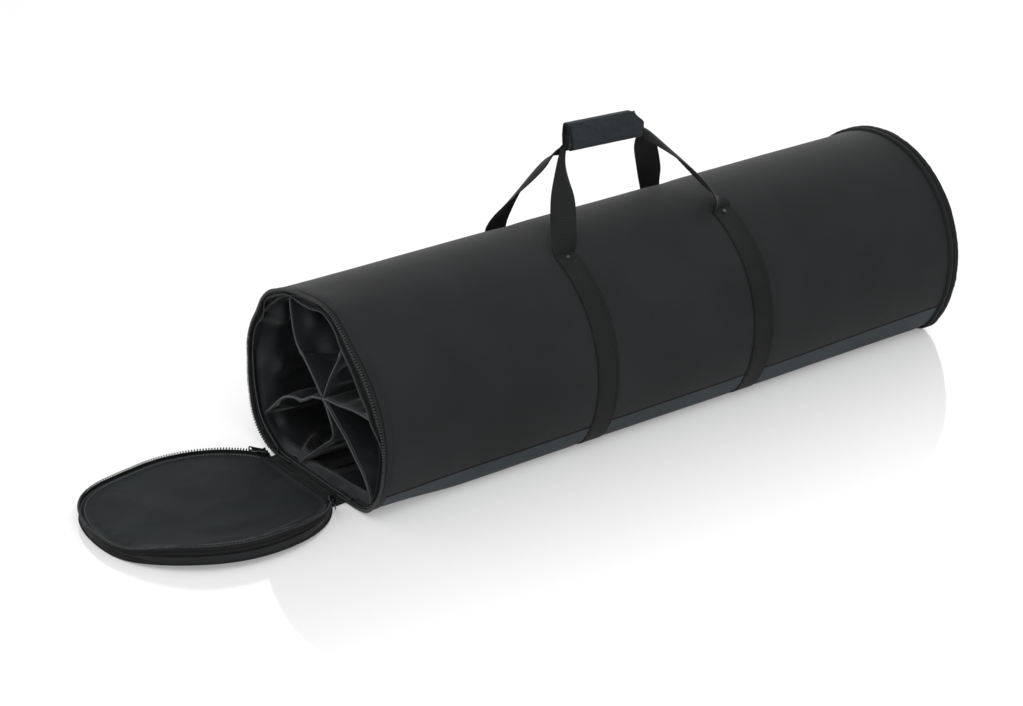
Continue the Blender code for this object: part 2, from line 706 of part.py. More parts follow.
def make_flap():
    """A shallow fabric tray with foam and a lining in it, and the zipper's tape standing round its edge."""
    wall_top = FLAP_FABRIC + GAP + FLAP_FOAM + GAP + FLAP_LINING
    outside, inside = flap_outline(FLAP_RADIUS), flap_outline(FLAP_RADIUS - FLAP_FABRIC)
    share = (FLAP_CHORD - FLAP_FABRIC) / FLAP_CHORD
    inside = [(FLAP_CENTRE_X + (x - FLAP_CENTRE_X) * share, y) for x, y in inside]
    tray = [
        [(x, y, 0) for x, y in outside],
        [(x, y, wall_top) for x, y in outside],
        [(x, y, wall_top) for x, y in inside],
        [(x, y, FLAP_FABRIC) for x, y in inside],
    ]
    lofted("flap_panel", tray, "shell", flat_ends=True, origin=(HINGE_X, 0, HINGE_HEIGHT))

    share -= LAYER_GAP / FLAP_CHORD
    width_share = 1 - LAYER_GAP / FLAP_RADIUS
    filling = [(FLAP_CENTRE_X + (x - FLAP_CENTRE_X) * share, y * width_share) for x, y in inside]
    low = FLAP_FABRIC + GAP
    for name, thickness in (("padding", FLAP_FOAM), ("lining", FLAP_LINING)):
        lofted(f"flap_{name}", [[(x, y, z) for x, y in filling] for z in (low, low + thickness)],
               FLAP_FINISHES[name], flat_ends=True, origin=(HINGE_X, 0, HINGE_HEIGHT))
        low += thickness + GAP


def make_piping():
    """A thin round cord along the flap's edge, on top of the tray's wall."""
    wall_top = FLAP_FABRIC + GAP + FLAP_FOAM + GAP + FLAP_LINING
    height = wall_top + GAP + PIPING_RADIUS
    loops = []
    reach = FLAP_RADIUS - FLAP_FABRIC / 2
    for x, y in flap_outline(reach, STOP_ANGLE):
        out = Vector((x - FLAP_CENTRE_X, y, 0)).normalized()
        loop = []
        for turn in (math.tau * k / PIPING_SIDES for k in range(PIPING_SIDES)):
            loop.append(Vector((x, y, height)) + out * (PIPING_RADIUS * math.cos(turn))
                        + Vector((0, 0, PIPING_RADIUS * math.sin(turn))))
        loops.append(loop)
    lofted("flap_piping", loops, "binding", origin=(HINGE_X, 0, HINGE_HEIGHT))


def make_flap_zip():
    outside = TAPE_RADIUS + ZIP_TAPE_THICKNESS
    low = TAPE_TOP - ZIP_TAPE_WIDTH
    flap_band("flap_zip_tape", TAPE_RADIUS, outside, low, TAPE_TOP, zip_angle(0), "binding")
    base = TAPE_TOP + GAP
    length = rad(360 - 2 * CHAIN_ANGLE) * CHAIN_RADIUS
    teeth = round(length / ZIP_TOOTH_PITCH)
    half = ZIP_CORD_WIDTH / 2
    loops = []
    for i, turn in enumerate(spread(CHAIN_ANGLE, 360 - CHAIN_ANGLE, 2 * teeth)):
        top = base + ZIP_CORD_HEIGHT + (ZIP_TOOTH_HEIGHT if i % 2 else 0)
        loop = []
        for reach, height in ((CHAIN_RADIUS - half, base), (CHAIN_RADIUS + half, base), (CHAIN_RADIUS, top)):
            loop.append((FLAP_CENTRE_X + reach * math.cos(rad(turn)), -reach * math.sin(rad(turn)), height))
        loops.append(loop)
    bm = bmesh.new()
    loft(bm, loops, flat_ends=True)
    hinge = (HINGE_X, 0, HINGE_HEIGHT)
    add_object("flap_zip_teeth", bm, "zip_nylon", hinge, TEETH_SMOOTH_ANGLE)
    print("teeth on the flap:", teeth)

    for side, sign in SIDES.items():
        bm = bmesh.new()
        block(bm, (-half, -STOP_LENGTH / 2, base), (half, STOP_LENGTH / 2, base + STOP_HEIGHT),
              ring_frame(-sign * STOP_ANGLE, CHAIN_RADIUS))
        add_object(f"flap_zip_stop_{side}", bm, "metal", hinge)


def ring_frame(angle, reach):
    """Axes at a point of the flap's edge: X straight out, Y along the edge and Z up."""
    place = Vector((FLAP_CENTRE_X + reach * math.cos(rad(angle)), -reach * math.sin(rad(angle)), 0))
    return Matrix.Translation(place) @ Matrix.Rotation(-rad(angle), 4, "Z")


def mouth_zip_path(x, inset, spacing):
    """Points along the mouth from the near end of the hinge, over the top, to the far end."""
    arc_start = corner_angle(x, inset)
    corner = on_section(x, inset, arc_start)
    flat_steps = round(ZIP_FLAT_RUN / spacing)
    run = Vector((0, ZIP_FLAT_RUN, 0))
    near = [corner + run * (1 - i / flat_steps) for i in range(flat_steps)]
    arc = rad(90 - arc_start) * (radius_at(x) - inset)
    arc_steps = 2 * round(arc / 2 / spacing)
    near += [on_section(x, inset, a) for a in spread(arc_start, 90, arc_steps)]
    far = [Vector((p.x, -p.y, p.z)) for p in reversed(near[:-1])]
    return near + far


def make_mouth_zip():
    inset = INSIDE_INSET + LAYER_GAP + MOUTH_BINDING_FABRIC + LAYER_GAP
    front = MOUTH_X - MOUTH_TAPE_REACH
    back = front + MOUTH_TAPE_WIDTH
    inside = inset + ZIP_TAPE_THICKNESS
    profile = [(front, inset), (back, inset), (back, inside), (front, inside)]
    middle = inset + ZIP_TAPE_THICKNESS / 2
    start_y = on_section(front, middle, corner_angle(front, middle)).y + ZIP_FLAT_RUN
    rows = []
    for x, depth in profile:
        height = on_section(x, depth, corner_angle(x, depth)).z
        rows.append([Vector((x, start_y, height))] + section(x, depth) + [Vector((x, -start_y, height))])
    lofted("mouth_zip_tape", list(zip(*rows)), "binding")

    base = front - GAP
    half = ZIP_CORD_WIDTH / 2
    spacing = ZIP_TOOTH_PITCH / 2
    route = mouth_zip_path(base, middle, spacing)
    loops = []
    for i, place in enumerate(route):
        before, after = route[max(i - 1, 0)], route[min(i + 1, len(route) - 1)]
        along = (after - before).normalized()
        out = along.cross(Vector((1, 0, 0)))
        tip = ZIP_CORD_HEIGHT + (ZIP_TOOTH_HEIGHT if i % 2 else 0)
        loops.append([place - out * half, place + out * half, place - Vector((tip, 0, 0))])
    bm = bmesh.new()
    loft(bm, loops, flat_ends=True)
    add_object("mouth_zip_teeth", bm, "zip_nylon", smooth_angle=TEETH_SMOOTH_ANGLE)

    for side, sign in SIDES.items():
        start = sign * (-start_y - GAP)
        low_y, high_y = sorted((start, start - sign * STOP_LENGTH))
        height = route[0].z
        bm = bmesh.new()
        block(bm, (base - STOP_HEIGHT, low_y, height - half), (base, high_y, height + half))
        add_object(f"mouth_zip_stop_{side}", bm, "metal")


def make_hinge_strip():
    """The fabric that joins the flap to the bag's underside."""
    bm = bmesh.new()
    half_width = HINGE_HALF_WIDTH - HINGE_RELIEF
    low = (HINGE_X - HINGE_RELIEF + GAP, -half_width, 0)
    block(bm, low, (MOUTH_X - GAP, half_width, HINGE_STRIP_THICKNESS))
    add_object("hinge_strip", bm, "binding")


# Zip sliders and their pulls

def make_slider(side, sign):
    """Two plates and a roof round the flap's teeth, a guide for the mouth's teeth, and ears for the pull."""
    frame = ring_frame(-sign * SLIDER_ANGLE, CHAIN_RADIUS)
    inner = ZIP_CORD_WIDTH / 2 + SLIDER_CLEARANCE
    outer = inner + SLIDER_PLATE
    teeth_low, teeth_high = TAPE_TOP + GAP, TAPE_TOP + GAP + CHAIN_HEIGHT
    low = teeth_low - SLIDER_LIP
    high = teeth_high + SLIDER_CLEARANCE + SLIDER_ROOF
    half = SLIDER_LENGTH / 2

    bm = bmesh.new()
    block(bm, (-outer, -half, low), (outer, half, high))
    bmesh.ops.bevel(bm, geom=[e for e in bm.edges], offset=SLIDER_ROUND, segments=1, affect="EDGES")
    bmesh.ops.transform(bm, matrix=frame, verts=bm.verts)
    slider = add_object(f"zip_slider_{side}", bm, "metal", origin=(FLAP_CENTRE_X, 0, HINGE_HEIGHT))

    bm = bmesh.new()
    reach = half + CUT_OVERRUN
    block(bm, (-inner, -reach, teeth_low - SLIDER_CLEARANCE),
          (inner, reach, teeth_high + SLIDER_CLEARANCE), frame)
    channel = add_cutter(f"teeth_channel_{side}", bm)
    bm = bmesh.new()
    slot = ZIP_TAPE_THICKNESS / 2 + SLIDER_CLEARANCE
    block(bm, (-slot, -reach, low - CUT_OVERRUN), (slot, reach, teeth_low), frame)
    tape_slot = add_cutter(f"tape_slot_{side}", bm)
    bm = bmesh.new()
    block(bm, (-inner, -reach, high - SLIDER_GUIDE_DEPTH), (inner, reach, high + CUT_OVERRUN), frame)
    guide = add_cutter(f"mouth_teeth_guide_{side}", bm)

    # Two ears on the outer plate, with a pin between them
    middle = (low + high) / 2
    ear_gap = PULL_WIDTH / 2 + PULL_PIN_CLEARANCE
    bm = bmesh.new()
    for up in (1, -1):
        z_low, z_high = sorted((middle + up * ear_gap, middle + up * (ear_gap + EAR_THICKNESS)))
        block(bm, (outer - SLIDER_PLATE / 2, -EAR_LENGTH / 2, z_low),
              (outer + EAR_REACH, EAR_LENGTH / 2, z_high), frame)
    ears = add_cutter(f"ears_{side}", bm)
    bm = bmesh.new()
    pin_half = ear_gap + EAR_THICKNESS / 2
    pin_place = frame @ Matrix.Translation((outer + EAR_REACH / 2, 0, middle))
    bmesh.ops.create_cone(bm, cap_ends=True, segments=PIN_SIDES, radius1=PIN_RADIUS, radius2=PIN_RADIUS,
                          depth=2 * pin_half, matrix=pin_place)
    pin = add_cutter(f"pin_{side}", bm)
    for cutter in (channel, tape_slot, guide):
        cut(slider, cutter)
    for joined in (ears, pin):
        cut(slider, joined, "UNION")
    return frame, outer, middle


def make_pull(side, sign, frame, outer, middle):
    """A tapered tab with an eye round the slider's pin and a hole near its tip."""
    lead = sign
    hole = PIN_RADIUS + PULL_PIN_CLEARANCE
    eye = hole + PIN_RADIUS
    place = frame @ Matrix.Translation((outer + EAR_REACH / 2, 0, middle))
    half = PULL_THICKNESS / 2
    shape = [
        (0, PULL_WIDTH / 2),
        (PULL_LENGTH - PULL_TIP_WIDTH, PULL_WIDTH / 2),
        (PULL_LENGTH - PULL_TIP_WIDTH / 2, PULL_TIP_WIDTH / 2),
        (PULL_LENGTH - PULL_WIDTH / 4, PULL_TIP_WIDTH / 2),
        (PULL_LENGTH, PULL_WIDTH / 4),
    ]
    outline = shape + [(along, -up) for along, up in reversed(shape)]
    bm = bmesh.new()
    faces = [[Vector((x, lead * along, up)) for along, up in outline] for x in (-half, half)]
    loft(bm, faces, flat_ends=True)
    bmesh.ops.transform(bm, matrix=place, verts=bm.verts)
    origin = place.translation
    pull = add_object(f"zip_pull_{side}", bm, "metal", origin=origin)

    bm = bmesh.new()
    bmesh.ops.create_cone(bm, cap_ends=True, segments=HOLE_SIDES, radius1=eye, radius2=eye,
                          depth=PULL_WIDTH, matrix=place)
    barrel = add_cutter(f"eye_barrel_{side}", bm)
    bm = bmesh.new()
    bmesh.ops.create_cone(bm, cap_ends=True, segments=HOLE_SIDES, radius1=hole, radius2=hole,
                          depth=PULL_WIDTH + CUT_OVERRUN, matrix=place)
    bore = add_cutter(f"eye_bore_{side}", bm)
    bm = bmesh.new()
    tip = Matrix.Translation((0, lead * (PULL_LENGTH - PULL_TIP_WIDTH / 2), 0))
    across = Matrix.Rotation(rad(90), 4, "Y")
    bmesh.ops.create_cone(bm, cap_ends=True, segments=HOLE_SIDES, radius1=PULL_HOLE_RADIUS,
                          radius2=PULL_HOLE_RADIUS, depth=PULL_THICKNESS + CUT_OVERRUN,
                          matrix=place @ tip @ across)
    tip_hole = add_cutter(f"tip_hole_{side}", bm)
    cut(pull, barrel, "UNION")
    cut(pull, bore)
    cut(pull, tip_hole)


make_wall()
make_mouth_binding()
make_dividers(make_rear())
make_straps()
make_rivets()
make_grip()
make_legs()
make_hinge_strip()
make_flap()
make_piping()
make_flap_zip()
make_mouth_zip()
for side, sign in SIDES.items():
    frame, outer, middle = make_slider(side, sign)
    make_pull(side, sign, frame, outer, middle)
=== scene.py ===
from math import asin, copysign, cos, degrees, exp, hypot, pi, radians, sin, sqrt

import bpy
from mathutils import Matrix, Vector, noise


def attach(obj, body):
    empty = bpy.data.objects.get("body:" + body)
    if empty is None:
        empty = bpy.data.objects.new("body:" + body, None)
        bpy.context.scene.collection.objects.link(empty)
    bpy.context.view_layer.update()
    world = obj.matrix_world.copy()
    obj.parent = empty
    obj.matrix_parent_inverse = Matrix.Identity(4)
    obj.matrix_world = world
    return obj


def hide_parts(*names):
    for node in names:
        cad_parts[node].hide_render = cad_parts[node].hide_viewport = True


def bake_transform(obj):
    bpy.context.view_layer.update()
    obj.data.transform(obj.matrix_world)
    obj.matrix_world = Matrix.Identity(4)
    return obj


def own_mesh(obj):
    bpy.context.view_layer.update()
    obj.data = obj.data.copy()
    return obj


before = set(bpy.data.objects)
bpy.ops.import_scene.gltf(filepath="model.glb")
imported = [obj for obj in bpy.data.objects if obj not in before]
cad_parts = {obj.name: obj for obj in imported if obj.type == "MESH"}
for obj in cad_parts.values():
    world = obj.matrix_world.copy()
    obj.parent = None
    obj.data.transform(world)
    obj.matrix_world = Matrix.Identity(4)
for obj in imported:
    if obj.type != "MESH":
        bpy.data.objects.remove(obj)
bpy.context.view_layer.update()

# Mic stand bag. Metres, X from the open mouth to the closed end, -Y is the near side, Z is up.
# Angles go round the section in degrees: 0 is the near side, 90 the top, 180 the far side.

bagSize = {
    "mouthX": -0.550, "rearX": 0.550, "length": 1.1,
    "mouthRadius": 0.179, "rearRadius": 0.1766,
    "mouthCentre": 0.110, "rearCentre": 0.1288,       # height of the section's centre
    "seamHeight": 0.041, "rearSeamHeight": 0.058,     # the long seams rise towards the closed end
    "softCorner": 0.022,      # how gently the side rolls on to the floor
    "rimReach": 0.16,         # how far in from the mouth its uneven rim still shows
    "ripple": 0.0012,
    "liningInset": 0.0088,
    "rearLift": 0.0048,       # how far the bound edge of the closed end holds it up
    "rearBand": 0.0186, "liftFade": 0.012,
}
faceUp, faceFront = (0, 0, 1), (-1, 0, 0)

bpy.context.scene.view_settings.view_transform = "Standard"


def mix(a, b, share):
    return a + (b - a) * share


def ease(share):
    share = min(1.0, max(0.0, share))
    return share * share * (3 - 2 * share)


def along(points, share):
    # point on a run of points, smooth between them
    last = len(points) - 1
    spot = min(max(share, 0.0), 1.0) * last
    i = min(int(spot), last - 1)
    t = spot - i
    a, b = points[i], points[i + 1]
    before = points[i - 1] if i else a * 2 - b
    after = points[i + 2] if i + 2 <= last else b * 2 - a
    return 0.5 * (2 * a + (b - before) * t + (2 * before - 5 * a + 4 * b - after) * t * t
                  + (3 * a - before - 3 * b + after) * t * t * t)


def evenly(points, count):
    # the same run of points, spaced evenly by length
    fine = [along(points, i / 200) for i in range(201)]
    lengths = [0.0]
    for a, b in zip(fine, fine[1:]):
        lengths.append(lengths[-1] + (b - a).length)
    spaced, j = [], 0
    for i in range(count + 1):
        want = lengths[-1] * i / count
        while j < 199 and lengths[j + 1] < want:
            j += 1
        step = lengths[j + 1] - lengths[j] or 1.0
        spaced.append(fine[j].lerp(fine[j + 1], min(1.0, max(0.0, (want - lengths[j]) / step))))
    return spaced, lengths[-1]


# Camera first

cameraSettings = {
    "place": (-2.1745, -2.6614, 1.5713),
    "right": (0.80411, -0.59448, 0.00189),
    "up": (0.23867, 0.32575, 0.91484),
    "lens": 85.62,
}

bpy.ops.object.camera_add(location=cameraSettings["place"])
camera = bpy.context.object
right = Vector(cameraSettings["right"]).normalized()
up = Vector(cameraSettings["up"])
up = (up - right * up.dot(right)).normalized()
back = right.cross(up)
turned = Matrix((right, up, back)).transposed().to_4x4()
camera.matrix_world = Matrix.Translation(camera.location) @ turned
camera.data.lens = cameraSettings["lens"]
camera.data.sensor_width = 36
camera.data.clip_end = 60
bpy.context.scene.camera = camera
print("camera set")

# Light and floor

stageSettings = {
    "worldLight": 0.55,
    "lights": {               # place, size and power
        "key": ((-1.6, -2.6, 3.6), 3.2, 62),
        "fill": ((2.6, 1.8, 2.6), 3.0, 22),
        "mouth": ((-3.4, -1.3, 0.75), 0.9, 9),
    },
    "aim": (0, 0, 0.15),
    "floorSize": 60, "floorHeight": -0.0004, "floorColour": (0.92, 0.92, 0.92, 1), "floorLift": 0.33,
    "floorGloss": 0.18, "floorGlossRoughness": 0.05,
    "glossFrom": -0.62, "glossTo": -0.22,     # the floor's shine fades out away from the bag
}


def feed(tree, node, links):
    # links as input: (node, output)
    for into, (source, out) in links.items():
        tree.links.new(source.outputs[out], node.inputs[into])


def addNode(tree, kind, values=None, links=None, **facts):
    made = tree.nodes.new("ShaderNode" + kind)
    for name, value in facts.items():
        setattr(made, name, value)
    for name, value in (values or {}).items():
        made.inputs[name].default_value = value
    feed(tree, made, links or {})
    return made


def emptyTree(owner):
    owner.use_nodes = True
    owner.node_tree.nodes.clear()
    return owner.node_tree


def makeStage():
    g = stageSettings
    white = (1, 1, 1, 1)
    world = bpy.context.scene.world or bpy.data.worlds.new("studio")
    bpy.context.scene.world = world
    tree = emptyTree(world)
    light = addNode(tree, "Background", {"Color": white, "Strength": g["worldLight"]})
    backdrop = addNode(tree, "Background", {"Color": white, "Strength": 1.0})
    path = addNode(tree, "LightPath")
    seen = addNode(tree, "Math", None, {0: (path, "Is Camera Ray"), 1: (path, "Is Glossy Ray")},
                   operation="MAXIMUM")
    blend = addNode(tree, "MixShader", None, {0: (seen, 0), 1: (light, 0), 2: (backdrop, 0)})
    addNode(tree, "OutputWorld", None, {0: (blend, 0)})

    for name, (place, size, power) in g["lights"].items():
        bpy.ops.object.light_add(type="AREA", location=place)
        lamp = bpy.context.object
        lamp.name = name + "Light"
        lamp.data.size = size
        lamp.data.energy = power
        lamp.rotation_euler = (Vector(g["aim"]) - Vector(place)).to_track_quat("-Z", "Y").to_euler()

    bpy.ops.mesh.primitive_plane_add(size=g["floorSize"], location=(0, 0, g["floorHeight"]))
    floor = bpy.context.object
    floor.name = "studioFloor"
    paint = bpy.data.materials.new("floorPaint")
    tree = emptyTree(paint)
    matt = addNode(tree, "BsdfDiffuse", {"Color": g["floorColour"]})
    lift = addNode(tree, "Emission", {"Color": white, "Strength": g["floorLift"]})
    dark = addNode(tree, "Emission", {"Color": (0, 0, 0, 1), "Strength": 0.0})
    gloss = addNode(tree, "BsdfGlossy", {"Color": white, "Roughness": g["floorGlossRoughness"]})
    path = addNode(tree, "LightPath")
    lifted = addNode(tree, "MixShader", None, {0: (path, "Is Camera Ray"), 1: (dark, 0), 2: (lift, 0)})
    added = addNode(tree, "AddShader", None, {0: (matt, 0), 1: (lifted, 0)})
    split = addNode(tree, "SeparateXYZ", None, {0: (addNode(tree, "TexCoord"), "Object")})
    fade = addNode(tree, "MapRange", {"From Min": g["glossFrom"], "From Max": g["glossTo"],
                                      "To Min": 0.0, "To Max": g["floorGloss"]},
                   {0: (split, "Y")}, interpolation_type="SMOOTHSTEP")
    shine = addNode(tree, "MixShader", None, {0: (fade, 0), 1: (added, 0), 2: (gloss, 0)})
    addNode(tree, "OutputMaterial", None, {0: (shine, 0)})
    floor.data.materials.append(paint)


# Materials. Fabrics read each piece's UV map, which is in metres along and across the cloth.

clothColumns = ("light", "dark", "rough", "gloss", "sheen", "pitch", "bump", "kind", "wrinkle")
clothRows = {
    # in the order of clothColumns; only slack cloth has wrinkles, given as scale and depth
    "outer_fabric": ((0.0255, 0.0265, 0.0280), (0.0135, 0.0143, 0.0152),
        0.78, 0.15, 0.20, 0.0011, 0.00012, "plain"),
    "bottom_fabric": ((0.052, 0.066, 0.071), (0.036, 0.047, 0.051),
        0.70, 0.15, 0.10, 0.0013, 0.00014, "plain"),
    "lining_fabric": ((0.027, 0.029, 0.032), (0.018, 0.019, 0.021),
        0.52, 0.24, 0.17, 0.0007, 0.00005, "plain", (22.0, 0.0075)),
    "divider_fabric": ((0.026, 0.029, 0.031), (0.018, 0.020, 0.022),
        0.42, 0.40, 0.24, 0.0007, 0.00005, "plain", (26.0, 0.0080)),
    "binding_fabric": ((0.020, 0.021, 0.022), (0.009, 0.010, 0.010),
        0.80, 0.15, 0.15, 0.0016, 0.00022, "rib"),
    "webbing": ((0.0165, 0.0172, 0.0172), (0.0072, 0.0077, 0.0077),
        0.72, 0.15, 0.11, 0.0021, 0.00035, "rib"),
    "grip_fabric": ((0.036, 0.041, 0.045), (0.022, 0.025, 0.028),
        0.66, 0.15, 0.18, 0.0011, 0.00012, "plain"),
    "hook_tape": ((0.018, 0.018, 0.018), (0.006, 0.006, 0.006),
        0.90, 0.15, 0.0, 0.0014, 0.0006, "plain"),
    "zip_tape": ((0.022, 0.023, 0.024), (0.012, 0.012, 0.013),
        0.74, 0.15, 0.15, 0.0012, 0.00018, "twill"),
    "foam": ((0.020, 0.020, 0.021), (0.010, 0.010, 0.010),
        0.95, 0.15, 0.0, 0.0020, 0.0004, "plain"),
}
madeMaterials = {}


def newMaterial(key):
    made = bpy.data.materials.new(key)
    made.use_nodes = True
    madeMaterials[key] = made
    return made, made.node_tree, made.node_tree.nodes["Principled BSDF"]


def addSeamLines(tree, split, tone, lines, span):
    # lines along a band, as (place across it, width, tone) in metres: stitching, and painted shade in grooves
    across = addNode(tree, "MapRange", {"From Max": span}, {0: (split, "X")})
    ramp = addNode(tree, "ValToRGB", None, {0: (across, 0)})
    stops = ramp.color_ramp.elements
    stops[0].position, stops[1].position = 0.0, 1.0
    for stop in stops:
        stop.color = (0.5, 0.5, 0.5, 1)
    for place, width, shade in lines:
        for spot, level in ((place - width / 2, 1.0), (place - width / 6, shade), (place + width / 6, shade),
                            (place + width / 2, 1.0)):
            stop = stops.new(min(1.0, max(0.0, spot / span)))
            stop.color = (level / 2, level / 2, level / 2, 1)
    doubled = addNode(tree, "Math", {1: 2.0}, {0: (ramp, 0)}, operation="MULTIPLY")
    return addNode(tree, "Math", None, {0: (doubled, 0), 1: (tone, 0)}, operation="MULTIPLY")


def addWeave(tree, split, kind, pitch):
    # height of the threads, from -1 to 1
    waves = [addNode(tree, "Math", {1: 2 * pi / pitch}, {0: (split, axis)}, operation="MULTIPLY")
             for axis in ("X", "Y")]
    if kind == "rib":
        return addNode(tree, "Math", None, {0: (waves[1], 0)}, operation="SINE")
    if kind == "twill":
        both = addNode(tree, "Math", None, {0: (waves[0], 0), 1: (waves[1], 0)}, operation="ADD")
        return addNode(tree, "Math", None, {0: (both, 0)}, operation="SINE")
    threads = [addNode(tree, "Math", None, {0: (wave, 0)}, operation="SINE") for wave in waves]
    return addNode(tree, "Math", None, {0: (threads[0], 0), 1: (threads[1], 0)}, operation="MULTIPLY")


def clothMaterial(name, variant="", **changes):
    # woven cloth from two crossing threads, with soft changes of tone over the piece
    key = name + variant
    if key in madeMaterials:
        return madeMaterials[key]
    finish = {**dict(zip(clothColumns, clothRows[name])), **changes}
    made, tree, shader = newMaterial(key)
    for socket, value in (("Roughness", finish["rough"]), ("Specular IOR Level", finish["gloss"]),
                          ("Sheen Weight", finish["sheen"]), ("Sheen Roughness", 0.35)):
        shader.inputs[socket].default_value = value
    place = addNode(tree, "TexCoord")
    split = addNode(tree, "SeparateXYZ", None, {0: (place, "UV")})
    height = addWeave(tree, split, finish["kind"], finish["pitch"])
    share = addNode(tree, "MapRange", {"From Min": -1.0, "From Max": 1.0}, {0: (height, 0)})
    patches = addNode(tree, "TexNoise", {"Scale": finish.get("patches", 9.0), "Detail": 4.0},
                      {"Vector": (place, "Object")})
    thread = addNode(tree, "MixRGB", {1: (*finish["dark"], 1), 2: (*finish["light"], 1)}, {0: (share, 0)})
    tone = addNode(tree, "MapRange", {"From Min": 0.3, "From Max": 0.7, "To Min": 0.82, "To Max": 1.12},
                   {0: (patches, "Fac")})
    if "lines" in finish:
        tone = addSeamLines(tree, split, tone, finish["lines"], finish["span"])
    toned = addNode(tree, "VectorMath", None, {0: (thread, 0), "Scale": (tone, 0)}, operation="SCALE")
    bump = addNode(tree, "Bump", {"Strength": 0.6, "Distance": finish["bump"]}, {"Height": (share, 0)})
    if "wrinkle" in finish:
        scale, depth = finish["wrinkle"]
        ridges = addNode(tree, "TexNoise", {"Scale": scale, "Detail": 2.0, "Roughness": 0.4},
                         {"Vector": (place, "Object")}, noise_type="RIDGED_MULTIFRACTAL")
        slack = addNode(tree, "Bump", {"Strength": 1.0, "Distance": depth}, {"Height": (ridges, "Fac")})
        feed(tree, bump, {"Normal": (slack, 0)})
    feed(tree, shader, {"Base Color": (toned, 0), "Normal": (bump, 0)})
    return made


def hardMaterial(name, colour, rough, metal=0.0, speckle=0.25):
    # plastic, thread or metal with a fine grain
    if name in madeMaterials:
        return madeMaterials[name]
    made, tree, shader = newMaterial(name)
    shader.inputs["Metallic"].default_value = metal
    grain = addNode(tree, "TexNoise", {"Scale": 900.0, "Detail": 3.0},
                    {"Vector": (addNode(tree, "TexCoord"), "Object")})
    tone = addNode(tree, "MixRGB", {1: (*(c * (1 - speckle) for c in colour), 1),
                                    2: (*(c * (1 + speckle) for c in colour), 1)}, {0: (grain, "Fac")})
    spread = addNode(tree, "MapRange", {"To Min": rough * 0.8, "To Max": rough * 1.25}, {0: (grain, "Fac")})
    bump = addNode(tree, "Bump", {"Strength": 0.2, "Distance": 0.00005}, {"Height": (grain, "Fac")})
    feed(tree, shader, {"Base Color": (tone, 0), "Roughness": (spread, 0), "Normal": (bump, 0)})
    return made


# Mesh helpers

def clearSelection():
    if bpy.context.object and bpy.context.object.mode != "OBJECT":
        bpy.ops.object.mode_set(mode="OBJECT")
    bpy.ops.object.select_all(action="DESELECT")


def pick(piece):
    clearSelection()
    piece.select_set(True)
    bpy.context.view_layer.objects.active = piece


def inEditMode(piece, step):
    # runs the step with the whole piece selected
    pick(piece)
    bpy.ops.object.mode_set(mode="EDIT")
    bpy.ops.mesh.select_all(action="SELECT")
    step()
    bpy.ops.object.mode_set(mode="OBJECT")


def faceTo(piece, facing):
    # turns the faces so that they look the way facing says, one way for all or by place
    total = 0.0
    for face in piece.data.polygons:
        way = facing(face.center) if callable(facing) else Vector(facing)
        total += face.normal.dot(way) * face.area
    if total < 0:
        inEditMode(piece, bpy.ops.mesh.flip_normals)


def clothGrid(name, columns, rows, place, size, facing=(0, 0, 0), merge=False, flat=None):
    # a flat grid laid out into a piece of cloth; size is its cut in metres, and flat names the two
    # axes that its weave follows where it lies as seen from one side
    clearSelection()
    bpy.ops.mesh.primitive_grid_add(x_subdivisions=columns, y_subdivisions=rows, size=2)
    piece = bpy.context.object
    piece.name = name
    piece.data.name = name
    for spot in piece.data.vertices:
        spot.co = place((spot.co.x + 1) / 2, (spot.co.y + 1) / 2)
    for corner in piece.data.uv_layers.active.data:
        corner.uv = (corner.uv[0] * size[0], corner.uv[1] * size[1])
    if merge:
        inEditMode(piece, lambda: bpy.ops.mesh.remove_doubles(threshold=0.00002))
    piece.data.update()
    faceTo(piece, facing)
    if flat:
        for corner in piece.data.loops:
            spot = piece.data.vertices[corner.vertex_index].co
            piece.data.uv_layers.active.data[corner.index].uv = (spot[flat[0]], spot[flat[1]])
    return piece


def finishPiece(piece, body, slot, material=None, replaces=(), angle=40):
    for spot in piece.data.vertices:      # nothing goes into the floor
        spot.co.z = max(spot.co.z, 0.0001)
    pick(piece)
    bpy.ops.object.shade_smooth_by_angle(angle=radians(angle))
    piece.data.materials.clear()
    piece.data.materials.append(material or clothMaterial(slot))
    if body:
        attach(piece, body)
    if replaces:
        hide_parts(*replaces)
    return piece


def clothPiece(name, grid, place, size, facing, thickness, body, slot, replaces=(), merge=False, flat=None,
               offset=-1.0, material=None, angle=40):
    # a finished piece of cloth with a thickness; offset -1 thickens it behind its face, 0 to both sides
    piece = clothGrid(name, *grid, place, size, facing, merge, flat)
    wall = piece.modifiers.new("thickness", "SOLIDIFY")
    wall.thickness = thickness
    wall.offset = offset
    wall.use_even_offset = False
    pick(piece)
    bpy.ops.object.modifier_apply(modifier=wall.name)
    return finishPiece(piece, body, slot, material, replaces, angle)


def outFromAxis(point):
    return Vector((0, point.y, point.z - 0.12))


def joinPieces(name, pieces):
    clearSelection()
    for piece in pieces:
        piece.select_set(True)
    bpy.context.view_layer.objects.active = pieces[0]
    bpy.ops.object.join()
    joined = bpy.context.object
    joined.name = name
    joined.data.name = name
    return joined


def repeatAlong(name, model, places):
    # copies of one small model, each with its own mesh, joined to one piece
    copies = []
    for place in places:
        twin = model.copy()
        twin.data = model.data.copy()
        twin.data.transform(place)
        bpy.context.scene.collection.objects.link(twin)
        copies.append(twin)
    bpy.data.objects.remove(model)
    return joinPieces(name, copies)


def axesAt(place, forward, outward):
    # X runs forward, Z points out
    forward = forward.normalized()
    side = outward.cross(forward).normalized()
    outward = forward.cross(side).normalized()
    return Matrix.Translation(place) @ Matrix((forward, side, outward)).transposed().to_4x4()


